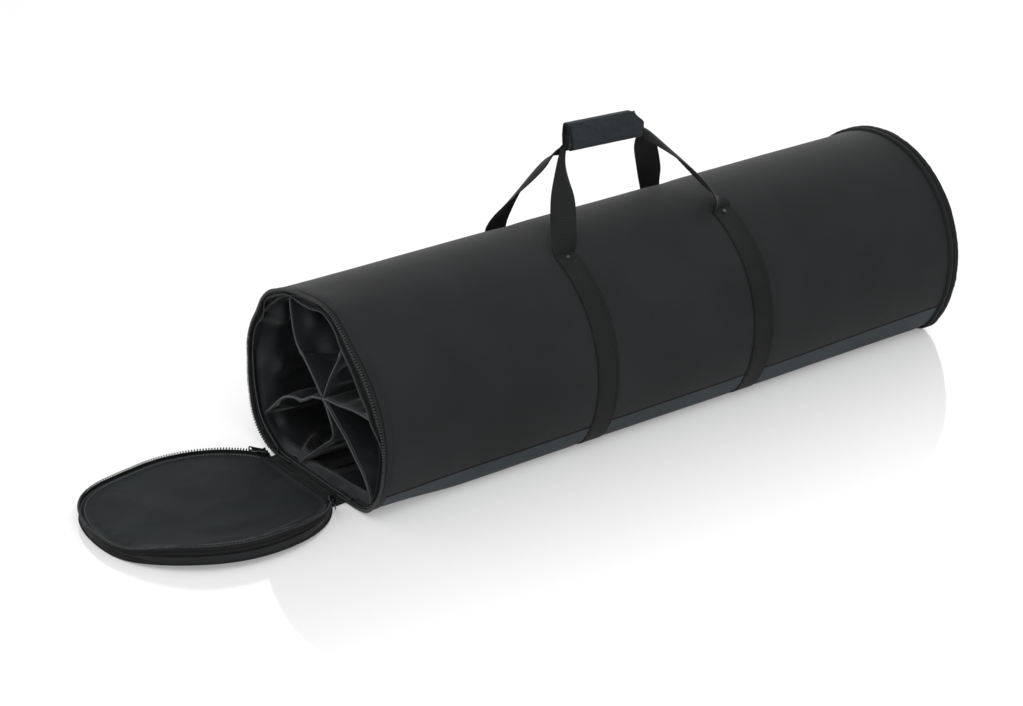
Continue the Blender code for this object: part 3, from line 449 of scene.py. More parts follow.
def stitchModel(length, thickness):
    # one raised stitch of thread
    clearSelection()
    bpy.ops.mesh.primitive_cylinder_add(vertices=6, radius=thickness / 2, depth=length,
                                        rotation=(0, pi / 2, 0))
    stitch = bpy.context.object
    bpy.ops.object.transform_apply(location=True, rotation=True, scale=True)
    inEditMode(stitch, lambda: bpy.ops.mesh.bevel(offset=thickness * 0.3, segments=1))
    for spot in stitch.data.vertices:   # the ends dive into the cloth
        spot.co.z -= thickness * 1.1 * (2 * spot.co.x / length) ** 2
    return stitch


def stitchRow(name, points, normals, length, gap, thickness):
    spent, places = 0.0, []
    want = (length + gap) / 2
    for a, b, normal in zip(points, points[1:], normals):
        run = (b - a).length
        while run > 0 and spent + run >= want:
            places.append(axesAt(a.lerp(b, (want - spent) / run), b - a, normal))
            want += length + gap
        spent += run
    return repeatAlong(name, stitchModel(length, thickness), places)


def tube(name, points, radius, sides, body, slot, material=None, replaces=(), closed=False, flatten=1.0,
         normal=(0, 0, 1), normals=None):
    # a round trim laid along points, or pressed flat
    count = len(points)
    frames = []
    for i in range(count):
        before = points[i - 1] if (i or closed) else points[0]
        after = points[(i + 1) % count] if (i + 1 < count or closed) else points[-1]
        heading = (after - before).normalized()
        side = heading.cross(normals[i] if normals else Vector(normal))
        side = side.normalized() if side.length > 1e-6 else heading.orthogonal().normalized()
        frames.append((points[i], side, side.cross(heading).normalized()))
    rows = count if closed else count - 1

    def place(u, v):
        spot, side, out = frames[round(v * rows) % count]
        turn = 2 * pi * u
        return spot + side * (radius * cos(turn)) + out * (radius * flatten * sin(turn))

    def closeEnds():
        if not closed:
            bpy.ops.mesh.select_all(action="DESELECT")
            bpy.ops.mesh.select_non_manifold(extend=False, use_wire=False, use_boundary=True,
                                             use_multi_face=False, use_non_contiguous=False, use_verts=False)
            bpy.ops.mesh.fill_holes(sides=sides + 1)
            bpy.ops.mesh.select_all(action="SELECT")
        bpy.ops.mesh.normals_make_consistent(inside=False)

    length = sum((b - a).length for a, b in zip(points, points[1:]))
    piece = clothGrid(name, sides, rows, place, (2 * pi * radius, length), merge=True)
    inEditMode(piece, closeEnds)
    return finishPiece(piece, body, slot, material, replaces)


# The section of the bag

# radius of the wall's outer edge at the mouth, from the section's centre
rimOuter = [(-90, 0.135), (-60, 0.142), (-50, 0.151), (-41, 0.1640), (-35, 0.1715), (-28, 0.1778),
            (-21, 0.1808), (-10, 0.1826), (2, 0.1838), (16, 0.1835), (31, 0.1790), (50, 0.1735),
            (62, 0.1770), (71, 0.1815), (79, 0.1805), (93, 0.1768), (106, 0.1768), (118, 0.1795),
            (125, 0.1825), (134, 0.1815), (147, 0.1778), (156, 0.1792), (173, 0.1782), (185, 0.1775),
            (200, 0.1810), (208, 0.1800), (216, 0.1704), (223, 0.1607), (232, 0.150), (245, 0.140),
            (270, 0.135)]
# radius of the light hem line inside the rim
rimHem = [(-90, 0.1060), (-60, 0.1210), (-50, 0.1400), (-42, 0.1570), (-37, 0.1640), (-28, 0.1735),
          (-16, 0.1765), (-3, 0.1760), (4, 0.1700), (10, 0.1568), (14, 0.1500), (21, 0.1467),
          (30, 0.1404), (41, 0.1400), (53, 0.1419), (61, 0.1472), (66, 0.1550), (74, 0.1611),
          (80, 0.1628), (89, 0.1562), (99, 0.1573), (106, 0.1634), (113, 0.1697), (123, 0.1720),
          (131, 0.1765), (135, 0.1760), (138, 0.1690), (143, 0.1637), (151, 0.1690), (157, 0.1700),
          (165, 0.1680), (176, 0.1640), (190, 0.1620), (204, 0.1602), (216, 0.1480), (228, 0.1371),
          (245, 0.1170), (270, 0.1060)]


def roundRun(run, angle):
    # value from a run of (angle, value) that goes once round, smooth between its points
    angle = (angle + 90) % 360 - 90
    for i in range(len(run) - 1):
        if run[i][0] <= angle <= run[i + 1][0]:
            a, b = run[i], run[i + 1]
            before = run[i - 1] if i else (run[-2][0] - 360, run[-2][1])
            after = run[i + 2] if i + 2 < len(run) else (run[1][0] + 360, run[1][1])
            width = b[0] - a[0]
            t = (angle - a[0]) / width
            slopeA = (b[1] - before[1]) / (b[0] - before[0]) * width
            slopeB = (after[1] - a[1]) / (after[0] - a[0]) * width
            return ((2 * t**3 - 3 * t**2 + 1) * a[1] + (t**3 - 2 * t**2 + t) * slopeA
                    + (3 * t**2 - 2 * t**3) * b[1] + (t**3 - t**2) * slopeB)
    return run[-1][1]


def softMax(a, b, width):
    near = max(width - abs(a - b), 0.0) / width
    return max(a, b) + near * near * width / 4


def crease(x, y, z):
    # sharp ridges and soft hollows, as in slack cloth: from -1 to 1
    return 1 - 4 * abs(softNoise(x, y, z))


def softNoise(x, y, z):
    return noise.noise(Vector((x, y, z)))


strapSettings = {
    "places": {"front": -0.161, "rear": 0.138}, "width": 0.038, "nearEnd": 66.5, "farEnd": 124.0,
    "squeeze": 0.0012,        # how far the straps pull the wall in
    "tacks": {"front": (24.0, 35.0), "rear": (8.0, 20.0, 31.0)},    # sewn across, degrees up the near side
    "seam": 0.0155,           # rows along the edges, from the strap's middle
    "stitch": (0.0030, 0.0012, 0.0007),     # length, gap and thickness
    "stitchOut": 0.00175, "webbingOut": 0.0015, "webbing": 0.0012, "length": 0.90,
    "liftWidth": 0.0196, "lift": 0.0019,
}


def bodyShare(x):
    return (x - bagSize["mouthX"]) / bagSize["length"]


def floorLift(x):
    # how far webbing and binding hold the underside up
    s = strapSettings
    lift = 0.0
    for place in s["places"].values():
        lift = max(lift, s["lift"] * ease(1 - (abs(x - place) - s["liftWidth"]) / bagSize["liftFade"]))
    gap = bagSize["rearX"] - bagSize["rearBand"] - x
    return max(lift, bagSize["rearLift"] * ease(1 - gap / bagSize["liftFade"]))


def sectionCentre(x):
    return mix(bagSize["mouthCentre"], bagSize["rearCentre"], bodyShare(x))


def sectionRadius(x):
    return mix(bagSize["mouthRadius"], bagSize["rearRadius"], bodyShare(x))


def ripple(x, angle):
    # slack in the wall: long soft waves, more of them near the mouth
    c, s = cos(radians(angle)), sin(radians(angle))
    wave = softNoise(x * 3.1, c * 1.1, s * 1.1) * bagSize["ripple"]
    wave += softNoise(x * 11 + 7, c * 3.2 + 3, s * 3.2 + 1) * 0.0006 * (0.4 + 2.0 * ease((-0.38 - x) / 0.16))
    for place in strapSettings["places"].values():
        wave -= strapSettings["squeeze"] * exp(-((x - place) / 0.024) ** 2)
    return wave * ease((0.545 - x) / 0.06)


def wallPoint(x, angle, out=0.0):
    # point of the wall's outer face, or out from it
    slack = ease(1 - (x - bagSize["mouthX"]) / bagSize["rimReach"])
    spread = slack * (roundRun(rimOuter, angle) - bagSize["mouthRadius"])
    reach = sectionRadius(x) + spread + ripple(x, angle) + out
    turn = radians(angle)
    low = floorLift(x) - out
    height = sectionCentre(x) + reach * sin(turn)
    return Vector((x, -reach * cos(turn), softMax(height, low, bagSize["softCorner"])))


def seamAngle(x):
    height = mix(bagSize["seamHeight"], bagSize["rearSeamHeight"], max(0.0, bodyShare(x)) ** 2)
    return degrees(asin((height - sectionCentre(x)) / sectionRadius(x)))


def wallNormal(x, angle):
    a, b = wallPoint(x, angle - 1), wallPoint(x, angle + 1)
    return Vector((1, 0, 0)).cross(b - a).normalized() * -1


# Body panels

panelSettings = {"start": -0.5405, "end": 0.5485, "fabric": 0.0012, "columns": 170}


def makePanels():
    g = panelSettings
    for name, rows, size, offset, half, node in (
            ("outerFabric", 96, (1.089, 0.735), 0.6, 180, "outer_panel"),
            ("bottomFabric", 60, (1.089, 0.36), -0.6, -180, "bottom_panel")):
        def place(u, v):
            x = mix(g["start"], g["end"], u)
            low = seamAngle(x) + offset
            return wallPoint(x, mix(low, half - low, v))

        piece = clothPiece(name, (g["columns"], rows), place, size, outFromAxis, g["fabric"], "bag",
                           node.replace("panel", "fabric"), (node,))

    # a narrow folded tape covers each long seam and stands a little proud of it
    cloth = clothMaterial("binding_fabric", "Seam", light=(0.009, 0.010, 0.010), dark=(0.004, 0.004, 0.004))
    for side in ("near", "far"):
        points, normals = [], []
        for i in range(161):
            x = mix(g["start"], g["end"], i / 160)
            angle = seamAngle(x) if side == "near" else 180 - seamAngle(x)
            points.append(wallPoint(x, angle, -0.0003))
            normals.append(wallNormal(x, angle))
        tube("seamPiping" + side.title(), points, 0.0018, 8, "bag", "binding_fabric", material=cloth,
             replaces=("seam_tape_" + side,), flatten=0.6, normals=normals)


# Wall foam and lining

liningSettings = {
    "start": -0.5445, "end": 0.5475, "flare": 0.10, "slackReach": 0.30, "fold": 0.0090,
    "cut": (1.09, 1.02), "fabric": 0.0008,
    "foamStart": -0.538, "foamEnd": 0.546, "foamCut": (1.08, 1.03), "foamInset": 0.0018, "foam": 0.0052,
    "foldX": -0.5395, "junction": (-0.5425, 0.047),
    # where the lining bellies inwards: x, half width, angle, half spread, rise
    "bulges": [(-0.516, 0.019, 172, 24, 0.0125), (-0.522, 0.012, 141, 7, 0.007),
               (-0.47, 0.030, 20, 14, 0.008), (-0.528, 0.010, 213, 11, -0.009)],
    # folds that fan out over the floor: direction in degrees, rise, width
    "fan": [(44, 0.017, 0.008), (78, 0.012, 0.008), (10, 0.013, 0.007), (112, 0.008, 0.006)],
}


def floorFolds(point):
    # the slack floor stands up in a fold right behind the hem, and folds fan out from where a divider is sewn
    g = liningSettings
    x, y = point.x - g["foldX"], point.y
    width = 0.0042 if x < 0 else 0.0085
    ends = ease((0.050 - y) / 0.014) * ease((y + 0.140) / 0.014)
    height = (0.0105 - 0.075 * y) * exp(-(x / width) ** 2) * ends
    x, y = point.x - g["junction"][0], point.y - g["junction"][1]
    for direction, rise, width in g["fan"]:
        c, s = cos(radians(direction)), sin(radians(direction))
        ahead, aside = x * c + y * s, y * c - x * s
        shown = ease(ahead / 0.016) * ease((0.110 - ahead) / 0.07)
        height = max(height, rise * exp(-(aside / width) ** 2) * shown)
    return height


def innerPoint(x, angle):
    # the wall's inner face: it starts at the hem of the rim and opens out to the full section
    g = liningSettings
    c, s = cos(radians(angle)), sin(radians(angle))
    inward = x - g["start"]
    point = wallPoint(x, angle, -bagSize["liningInset"])
    pull = ease(1 - inward / g["flare"])
    if pull > 0:
        reach = roundRun(rimHem, angle)
        low = mix(0.0035, 0.0090, ease(inward / 0.007))
        point = point.lerp(Vector((x, -reach * c, max(low, bagSize["mouthCentre"] + reach * s))), pull)
    depth = inward / g["slackReach"]
    slack = ease(depth / 0.12) * (1 - 0.75 * ease(depth)) * (0.25 if angle < -15 or angle > 205 else 1.0)
    fold = crease(x * 5 + angle * 0.012, c * 1.9, s * 1.9 + 4) + crease(x * 13, c * 3.1 + 2, s * 3.1) * 0.35
    rise = slack * max(0.0, fold + 0.4) * g["fold"]
    for place, width, side, spread, height in g["bulges"]:
        near = exp(-((x - place) / width) ** 2 - ((angle - side) / spread) ** 2)
        rise += height * near * ease(depth / 0.03)
    point -= Vector((0, -c, s)) * rise
    if angle < 0 or angle > 195:
        point.z += floorFolds(point)
    return point


def makeLining():
    g = liningSettings

    def lining(u, v):
        return innerPoint(mix(g["start"], g["end"], u ** 2.0), -90 + 360 * v)

    piece = clothPiece("wallLining", (130, 180), lining, g["cut"], lambda p: -outFromAxis(p), g["fabric"],
                       "bag", "lining_fabric", ("wall_lining",), merge=True)

    def foam(u, v):
        return wallPoint(mix(g["foamStart"], g["foamEnd"], u), -90 + 360 * v, -g["foamInset"])

    piece = clothPiece("wallFoam", (70, 90), foam, g["foamCut"], outFromAxis, g["foam"], "bag", "foam",
                       ("wall_padding",), merge=True)


# Rim of the mouth: the wall's edge rolled over, and the band inside it down to the hem

rimSettings = {"back": -0.5385, "front": -0.5535, "cut": (0.05, 1.03), "fabric": 0.0012,
               "hemShare": 0.82, "hemRadius": 0.0007}


def rimPoint(angle, share):
    # from the outer wall (0) over the fold to the hem (1)
    turn = radians(angle)
    rOut = roundRun(rimOuter, angle)
    rHem = min(roundRun(rimHem, angle), rOut - 0.006)
    crest = mix(rOut, rHem, 0.22)
    fat = 0.0016 * softNoise(cos(turn) * 4, sin(turn) * 4, 2.0)
    profile = [
        (rOut + 0.0006, rimSettings["back"]),
        (rOut + 0.0002, -0.5450),
        (mix(rOut, crest, 0.25) + 0.0004, -0.5492),
        (crest + 0.001, rimSettings["front"] + fat),
        (mix(crest, rHem, 0.30), -0.5505),
        (mix(crest, rHem, 0.45), -0.5452),
        (mix(crest, rHem, 0.75), -0.5498),
        (rHem + 0.0012, -0.5500),
        (rHem, -0.5484),
        (rHem + 0.0006, -0.5400),
    ]
    spot = along([Vector((x, r, 0)) for r, x in profile], share)
    height = bagSize["mouthCentre"] + spot.y * sin(turn)
    low = mix(0.0, 0.0050, ease((share - 0.08) / 0.35))
    return Vector((spot.x, -spot.y * cos(turn), softMax(height, low, 0.010)))


def makeRim():
    g = rimSettings
    outer = clothRows["outer_fabric"]
    # its lines are all darker than the cloth: a painted shadow behind the rolled edge and painted shade in
    # the grooves
    banded = clothMaterial("binding_fabric", "Rim", span=g["cut"][0], light=outer[0], dark=outer[1], lines=[
        (0.0108, 0.0034, 0.25), (0.0165, 0.0060, 0.45), (0.0224, 0.0046, 0.06), (0.0278, 0.0040, 0.7),
        (0.0330, 0.0050, 0.08), (0.0374, 0.0036, 0.2), (0.0450, 0.0060, 0.15)])
    clothPiece("mouthRim", (26, 220), lambda u, v: rimPoint(-90 + 360 * v, u), g["cut"], faceFront,
               g["fabric"], "bag", "binding_fabric", ("mouth_binding",), merge=True, material=banded,
               angle=60)

    # light hem line: a cord whose light colour paints the highlight along the hem's edge
    points = [rimPoint(-90 + 360 * i / 300, g["hemShare"]) + Vector((-0.0006, 0, 0)) for i in range(300)]
    thread = clothMaterial("binding_fabric", "Hem", light=(0.085, 0.095, 0.100), dark=(0.04, 0.045, 0.05),
                           rough=0.5)
    tube("rimHem", points, g["hemRadius"], 6, "bag", "binding_fabric", thread, closed=True, normal=faceFront)


# Dividers

dividerSettings = {
    "start": -0.5425, "end": 0.536, "depth": 1.08, "thickness": 0.0034, "reach": 0.20,
    "centreShift": -0.0145, "centreHeight": 0.1325,
    "roll": 0.0019, "hem": 0.0005, "centreSeam": 0.0034,      # radius of the trims
}
# free edge at the mouth as (y, z) from the centre to the wall, and the angle it takes further in
dividerEdges = {
    "divider_far_top": (123, [(0.0126, 0.1600), (0.0390, 0.1844), (0.0490, 0.1915), (0.0578, 0.2087),
                              (0.0645, 0.2431), (0.0660, 0.2600)]),
    "divider_near_top": (57, [(-0.0301, 0.1639), (-0.0436, 0.1863), (-0.0600, 0.2110), (-0.0700, 0.2330),
                              (-0.0790, 0.2480)]),
    "divider_near_side": (4, [(-0.0261, 0.1356), (-0.0509, 0.1376), (-0.0854, 0.1433), (-0.1120, 0.1455),
                              (-0.1451, 0.1444), (-0.1600, 0.1410)]),
    "divider_near_bottom": (319, [(-0.0208, 0.1290), (-0.0494, 0.1076), (-0.0731, 0.0901), (-0.0965, 0.0683),
                                  (-0.1152, 0.0500), (-0.1290, 0.0270), (-0.1330, 0.0130)]),
    "divider_bottom": (244, [(-0.0210, 0.1240), (-0.0290, 0.1110), (-0.0364, 0.0951), (-0.0355, 0.0784),
                             (-0.0130, 0.0600), (0.0120, 0.0400), (0.0340, 0.0230), (0.0480, 0.0100)]),
    "divider_far_side": (204, [(0.0147, 0.1248), (0.0411, 0.1104), (0.0699, 0.1042), (0.0950, 0.0940),
                               (0.1250, 0.0690), (0.1560, 0.0420)]),
}

# where a crease runs along a divider, as a share of the way to the wall, and how far the cloth sinks into it
dividerFolds = {"divider_far_top": (0.44, 0.017), "divider_bottom": (0.46, -0.016),
                "divider_far_side": (0.5, 0.008), "divider_near_top": (0.62, 0.007),
                "divider_near_side": (0.55, -0.006)}

# sharp creases: where they cross the free edge, how fast they run towards the centre per metre, depth, and
# from and to what depth in the bag they go
dividerCreases = {
    "divider_far_top": [(0.47, -2.0, 0.0060, -0.02, 0.085), (0.38, -2.2, 0.0065, 0.02, 0.100),
                        (0.78, -1.4, 0.0030, 0.0, 0.06)],
    "divider_near_top": [(0.70, -1.5, 0.0040, -0.02, 0.06), (0.40, -1.2, 0.0035, 0.0, 0.07)],
    "divider_near_bottom": [(0.55, 0.8, 0.0040, 0.01, 0.10), (0.80, 1.0, 0.0040, -0.02, 0.09)],
    "divider_near_side": [(0.45, 0.7, 0.0030, 0.0, 0.07), (0.75, -0.8, 0.0035, -0.02, 0.08)],
    "divider_bottom": [(0.60, -1.0, 0.0050, -0.02, 0.09), (0.85, 0.0, 0.0040, -0.02, 0.07)],
    "divider_far_side": [(0.35, -0.6, 0.0035, -0.02, 0.08), (0.70, 0.5, 0.0040, -0.02, 0.09)],
}


def dividerCentre(x):
    share = bodyShare(x)
    return Vector((x, mix(dividerSettings["centreShift"], 0, share),
                   mix(dividerSettings["centreHeight"], bagSize["rearCentre"], share)))


def wallAlong(x, start, direction):
    # how far a line from start runs until it meets the lining
    low, high = 0.0, 0.36
    centre = sectionCentre(x)
    reach = sectionRadius(x) - bagSize["liningInset"] - 0.001
    for _ in range(24):
        middle = (low + high) / 2
        point = start + direction * middle
        inside = hypot(point.y, point.z - centre) < reach and point.z > bagSize["liningInset"] + 0.002
        low, high = (middle, high) if inside else (low, middle)
    return low


def makeDividers():
    g = dividerSettings
    for name, (angle, edge) in dividerEdges.items():
        turn = radians(angle)
        direction = Vector((0, -cos(turn), sin(turn)))
        across = Vector((0, -direction.z, direction.y))
        start = dividerCentre(g["start"])
        run = [start + (Vector((start.x, *edge[0])) - start) * 0.12]
        run += [Vector((start.x, y, z)) for y, z in edge]
        rows = 80
        edgePoints, edgeLength = evenly(run, rows)
        seed = angle * 0.37
        crest, puff = dividerFolds.get(name, (None, 0.0))

        def place(u, v):
            x = mix(g["start"], g["end"], u ** 1.7)
            inward = x - g["start"]
            deep = ease(inward / g["reach"])
            root = dividerCentre(x) + direction * 0.0040
            straight = root + direction * (wallAlong(x, root, direction) * v)
            hung = edgePoints[round(v * rows)] + Vector((inward, 0, 0))
            slack = 4 * v * (1 - v) * ease((x + 0.5435) / 0.03)
            fold = softNoise(x * 7, v * 2.2, seed) * 0.009 * slack * mix(1.0, 0.45, deep)
            fold += crease(x * 6, v * 2.6 + x * 3, seed + 3) * 0.0048 * slack * mix(1.0, 0.3, deep)
            if crest:
                half = v / crest if v < crest else (1 - v) / (1 - crest)
                fold += puff * (sin(pi / 2 * min(1.0, 2 * half)) - 1) * slack * (1 - deep * 0.6)
            for crossing, lean, sunk, near, far in dividerCreases[name]:
                gap = abs(v - crossing - lean * inward) / 0.045
                shown = ease((inward - near) / 0.02) * ease((far - inward) / 0.05)
                fold -= sunk * exp(-gap) * shown * ease(v / 0.08) * ease((1 - v) / 0.08)
            return hung.lerp(straight, deep) + across * fold

        cloth = clothMaterial("divider_fabric")
        # the far-side divider has a darker, less shiny copy of the cloth: painted shade on this one divider
        if name == "divider_far_side":
            cloth = clothMaterial("divider_fabric", "PaintedShade", light=(0.018, 0.020, 0.022),
                                  dark=(0.011, 0.012, 0.013), gloss=0.25, sheen=0.12)
        piece = clothPiece(name.replace("divider_", "divider").title().replace("_", ""), (72, rows), place,
                           (g["depth"], edgeLength), across, g["thickness"], "bag", "divider_fabric", (name,),
                           offset=0.0, material=cloth, angle=50)

        # the free edge is turned in to a soft roll, in a lighter tone that paints the highlight along it
        cloth = clothMaterial("divider_fabric", "Edge", light=(0.036, 0.040, 0.043),
                              dark=(0.022, 0.025, 0.027))
        tube(piece.name + "Edge", edgePoints, g["roll"], 10, "bag", "divider_fabric", cloth, normal=faceFront)
        if name not in ("divider_near_bottom", "divider_near_side"):
            continue
        # two of them get stitching each side of the roll, in a light colour that paints the corners'
        # highlight
        for side, label in ((1, "A"), (-1, "B")):
            points = []
            for i, spot in enumerate(edgePoints):
                before, after = edgePoints[max(i - 1, 0)], edgePoints[min(i + 1, rows)]
                normal = Vector((1, 0, 0)).cross((after - before).normalized()).normalized()
                points.append(spot + normal * (side * 0.0032) + Vector((0.0012, 0, 0)))
            tube(piece.name + "Hem" + label, points, g["hem"], 6, "bag", "divider_fabric",
                 clothMaterial("binding_fabric", "Hem"), normal=faceFront)

    points = [dividerCentre(mix(-0.5435, g["end"], i / 30)) for i in range(31)]
    tube("dividerCentreSeam", points, g["centreSeam"], 10, "bag", "divider_fabric",
         replaces=("divider_centre_seam",))


# Closed end

rearSettings = {
    "x": 0.5488, "middle": 0.150, "edge": 0.0046, "fabricCut": (0.35, 0.35), "cut": (0.33, 0.33),
    "bindingCut": (0.034, 1.09),
    "fabric": 0.0012, "pad": 0.0076, "lining": 0.0008, "binding": 0.0010,
}
# across the bound edge: x and how far out, as two rolled ridges with a groove between them
rearRidges = [(0.5318, 0.0002), (0.5322, 0.0022), (0.5345, 0.0042), (0.5375, 0.0044), (0.5400, 0.0030),
              (0.5412, 0.0016), (0.5424, 0.0030), (0.5450, 0.0046), (0.5485, 0.0048), (0.5508, 0.0036),
              (0.5520, 0.0004), (0.5518, -0.0040), (0.5508, -0.0080)]


def makeRear():
    g = rearSettings

    def spoke(x, u, v, out):
        # from the middle of the closed end to its edge
        return Vector((x, 0, g["middle"])).lerp(wallPoint(x, -90 + 360 * v, out), u)

    def outside(u, v):
        # a disc with its fabric drawn out a little in the middle
        point = spoke(g["x"], u, v, -0.0003)
        point.x += 0.0012 + 0.0035 * (1 - u * u) + 0.0008 * softNoise(u * 3, cos(2 * pi * v) * 2, 5)
        return point

    def pad(u, v):
        point = spoke(0.545, u, v, -0.0095)
        return Vector((0.5478, point.y, point.z))

    def lining(u, v):
        point = spoke(0.539, u, v, -0.0098)
        return Vector((0.5392 - 0.0012 * (1 - u * u), point.y, point.z))

    clothPiece("rearFabric", (24, 120), outside, g["fabricCut"], (1, 0, 0), g["fabric"], "bag",
               "outer_fabric", ("rear_panel",), merge=True, flat=(1, 2))
    piece = clothPiece("rearPad", (12, 90), pad, g["cut"], (1, 0, 0), g["pad"], "bag", "foam",
                       ("rear_padding",), merge=True)
    clothPiece("rearLining", (12, 90), lining, g["cut"], faceFront, g["lining"], "bag", "lining_fabric",
               ("rear_lining",), merge=True)

    profile = [Vector((x, out, 0)) for x, out in rearRidges]

    def band(u, v):
        spot = along(profile, u)
        wrinkle = 0.0006 * softNoise(v * 160, u * 2, 0) + 0.0006 * softNoise(v * 40, u * 3, 9)
        base = wallPoint(min(spot.x, g["x"]), -90 + 360 * v, min(spot.y + wrinkle, g["edge"]))
        return Vector((spot.x, base.y, base.z))

    clothPiece("rearBinding", (36, 420), band, g["bindingCut"],
               lambda p: outFromAxis(p) + Vector((0.05, 0, 0)), g["binding"], "bag", "binding_fabric",
               ("rear_binding",), merge=True, angle=60)


# Straps round the body

def strapPoint(x, angle, share, out):
    # the webbing's middle stands a little higher than its edges, and each row sewn across pulls it in
    crown = 0.0004 * (1 - (2 * share - 1) ** 4)
    tacks = strapSettings["tacks"]["front" if x < 0 else "rear"]
    dip = 0.0009 * sum(exp(-((angle - tack) / 1.1) ** 2) for tack in tacks)
    return wallPoint(x, angle, out + crown - dip)


def makeStraps():
    s = strapSettings
    first, last = s["nearEnd"], s["farEnd"] - 360
    thread = hardMaterial("blackThread", (0.011, 0.011, 0.0115), 0.6, speckle=0.3)
    edged = clothMaterial("webbing", "Strap", span=s["width"], lines=[
        (0.0007, 0.0016, 0.25), (0.0042, 0.0016, 0.55), (0.0338, 0.0016, 0.6), (0.0373, 0.0016, 0.4)])
    for end, x in s["places"].items():
        def place(u, v):
            across = mix(x - s["width"] / 2, x + s["width"] / 2, u)
            return strapPoint(across, mix(first, last, v), u, s["webbingOut"])

        clothPiece("strap" + end.title(), (12, 300), place, (s["width"], s["length"]), outFromAxis,
                   s["webbing"], "bag", "webbing", ("strap_" + end,), material=edged)

        rows = []
        for edge in (-s["seam"], s["seam"]):
            angles = [mix(first - 1, -30, i / 160) for i in range(161)]
            points = [strapPoint(x + edge, angle, 0.1, s["stitchOut"]) for angle in angles]
            rows.append(stitchRow("row", points, [wallNormal(x, angle) for angle in angles], *s["stitch"]))
        for angle in s["tacks"][end]:
            across = [mix(-s["seam"], s["seam"], i / 30) for i in range(31)]
            points = [strapPoint(x + edge, angle, 0.5, s["stitchOut"]) for edge in across]
            rows.append(stitchRow("row", points, [wallNormal(x, angle)] * 31, *s["stitch"]))
        finishPiece(joinPieces("strapStitches" + end.title(), rows), "bag", "webbing", material=thread)


# Handle legs

# rows of a leg: share of the way, turn about its own line in degrees, share of the full width
legSettings = {
    "gripFront": -0.1063, "gripRear": 0.0293, "handHeight": 0.412, "barOffset": 0.0015,
    "width": 0.038, "length": 0.19, "webbing": 0.0015, "cup": 0.0022, "fold": 0.0065,
    "near_front": {"rise": 0.036, "lead": 0.012, "rows": [
        (0, 0, 1), (0.20, -35, 1), (0.42, -40, 0.95), (0.62, -4, 0.70), (0.80, 12, 0.42), (0.93, 6, 0.22),
        (1, 0, 0.20)]},
    "near_rear": {"rise": 0.027, "lead": 0.021, "rows": [
        (0, 0, 1), (0.15, 58, 0.90), (0.32, 80, 0.90), (0.55, 76, 0.90), (0.78, 52, 0.66), (0.92, 20, 0.34),
        (1, 0, 0.28)]},
    "far_front": {"rise": 0.032, "lead": 0.022, "rows": [
        (0, 0, 1), (0.18, 8, 0.90), (0.42, 39, 0.90), (0.72, 56, 0.80), (0.90, 12, 0.32), (1, 0, 0.30)]},
    "far_rear": {"rise": 0.032, "lead": 0.012, "rows": [
        (0, 0, 1), (0.30, -30, 1), (0.60, -30, 0.92), (0.80, -26, 0.54), (0.92, -8, 0.28), (1, 0, 0.20)]},
}


def bezier(points, share):
    a, b, c, d = points
    rest = 1 - share
    return (a * rest**3 + b * (3 * rest**2 * share) + c * (3 * rest * share**2) + d * share**3,
            ((b - a) * rest**2 + (c - b) * (2 * rest * share) + (d - c) * share**2).normalized())


def smoothRun(run, share):
    # value from a run of (share, value), level at both ends and smooth between its points
    last = len(run) - 1
    slopes = [0.0] * (last + 1)
    for i in range(1, last):
        slopes[i] = (run[i + 1][1] - run[i - 1][1]) / (run[i + 1][0] - run[i - 1][0])
    i = max(k for k in range(last) if run[k][0] <= share)
    width = run[i + 1][0] - run[i][0]
    part = (share - run[i][0]) / width
    rest = 1 - part
    ends = run[i][1] * rest * rest * (1 + 2 * part) + run[i + 1][1] * part * part * (1 + 2 * rest)
    return ends + width * part * rest * (slopes[i] * rest - slopes[i + 1] * part)


def makeLegs():
    g = legSettings
    for side, sign, footAngle in (("near", -1, strapSettings["nearEnd"] + 0.35),
                                  ("far", 1, strapSettings["farEnd"] - 0.35)):
        for end, gripX, outward in (("front", g["gripFront"], -1), ("rear", g["gripRear"], 1)):
            leg = g[side + "_" + end]
            turns = [(way, turn) for way, turn, _ in leg["rows"]]
            widths = [(way, width) for way, _, width in leg["rows"]]
            foot = wallPoint(strapSettings["places"][end], footAngle, 0.0011)
            hand = Vector((gripX, sign * g["barOffset"], g["handHeight"]))
            lead = Vector((outward * leg["lead"], 0, 0))
            curve = (foot, foot + Vector((0, 0, leg["rise"])), hand + lead, hand)

            def place(u, v):
                spot, heading = bezier(curve, v)
                turn = radians(smoothRun(turns, v))
                share = smoothRun(widths, v)
                sideways = (Vector((0, 1, 0)) - heading * heading.y).normalized()
                across = sideways.cross(heading) * cos(turn) + sideways * sin(turn)
                cup = g["cup"] * sin(pi * v) + g["fold"] * (1 - share)
                curl = cup * ease(v / 0.1) * ease((1 - v) / 0.12) * ((2 * u - 1) ** 2 - 0.33) * sign
                return spot + across * (g["width"] * share * (u - 0.5)) + across.cross(heading) * curl

            piece = clothPiece(f"leg{side.title()}{end.title()}", (12, 110), place, (g["width"], g["length"]),
                               (0, sign, 0.2), g["webbing"], None, "webbing", (f"handle_leg_{side}_{end}",),
                               offset=0.0)
            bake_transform(piece)


# Grip

gripSettings = {
    "front": -0.106, "rear": 0.029, "middle": -0.0385, "height": 0.424,
    "halfWidth": 0.0086, "halfHeight": 0.0221,
    "frontRise": 0.0045, "rearRise": 0.0008,    # the wrap sits a little askew on the webbing
    "rearSlant": 0.017, "frontSlant": 0.013,    # its ends lean, because the cloth is pulled round at an angle
    "wrinkle": 0.0011, "wrap": 0.0012, "foam": 0.0030,
    "flapFabric": 0.0011, "flapTop": 0.0235, "flapRound": 0.0113,     # the last is how round it turns below
    "roundShare": 0.22,
}


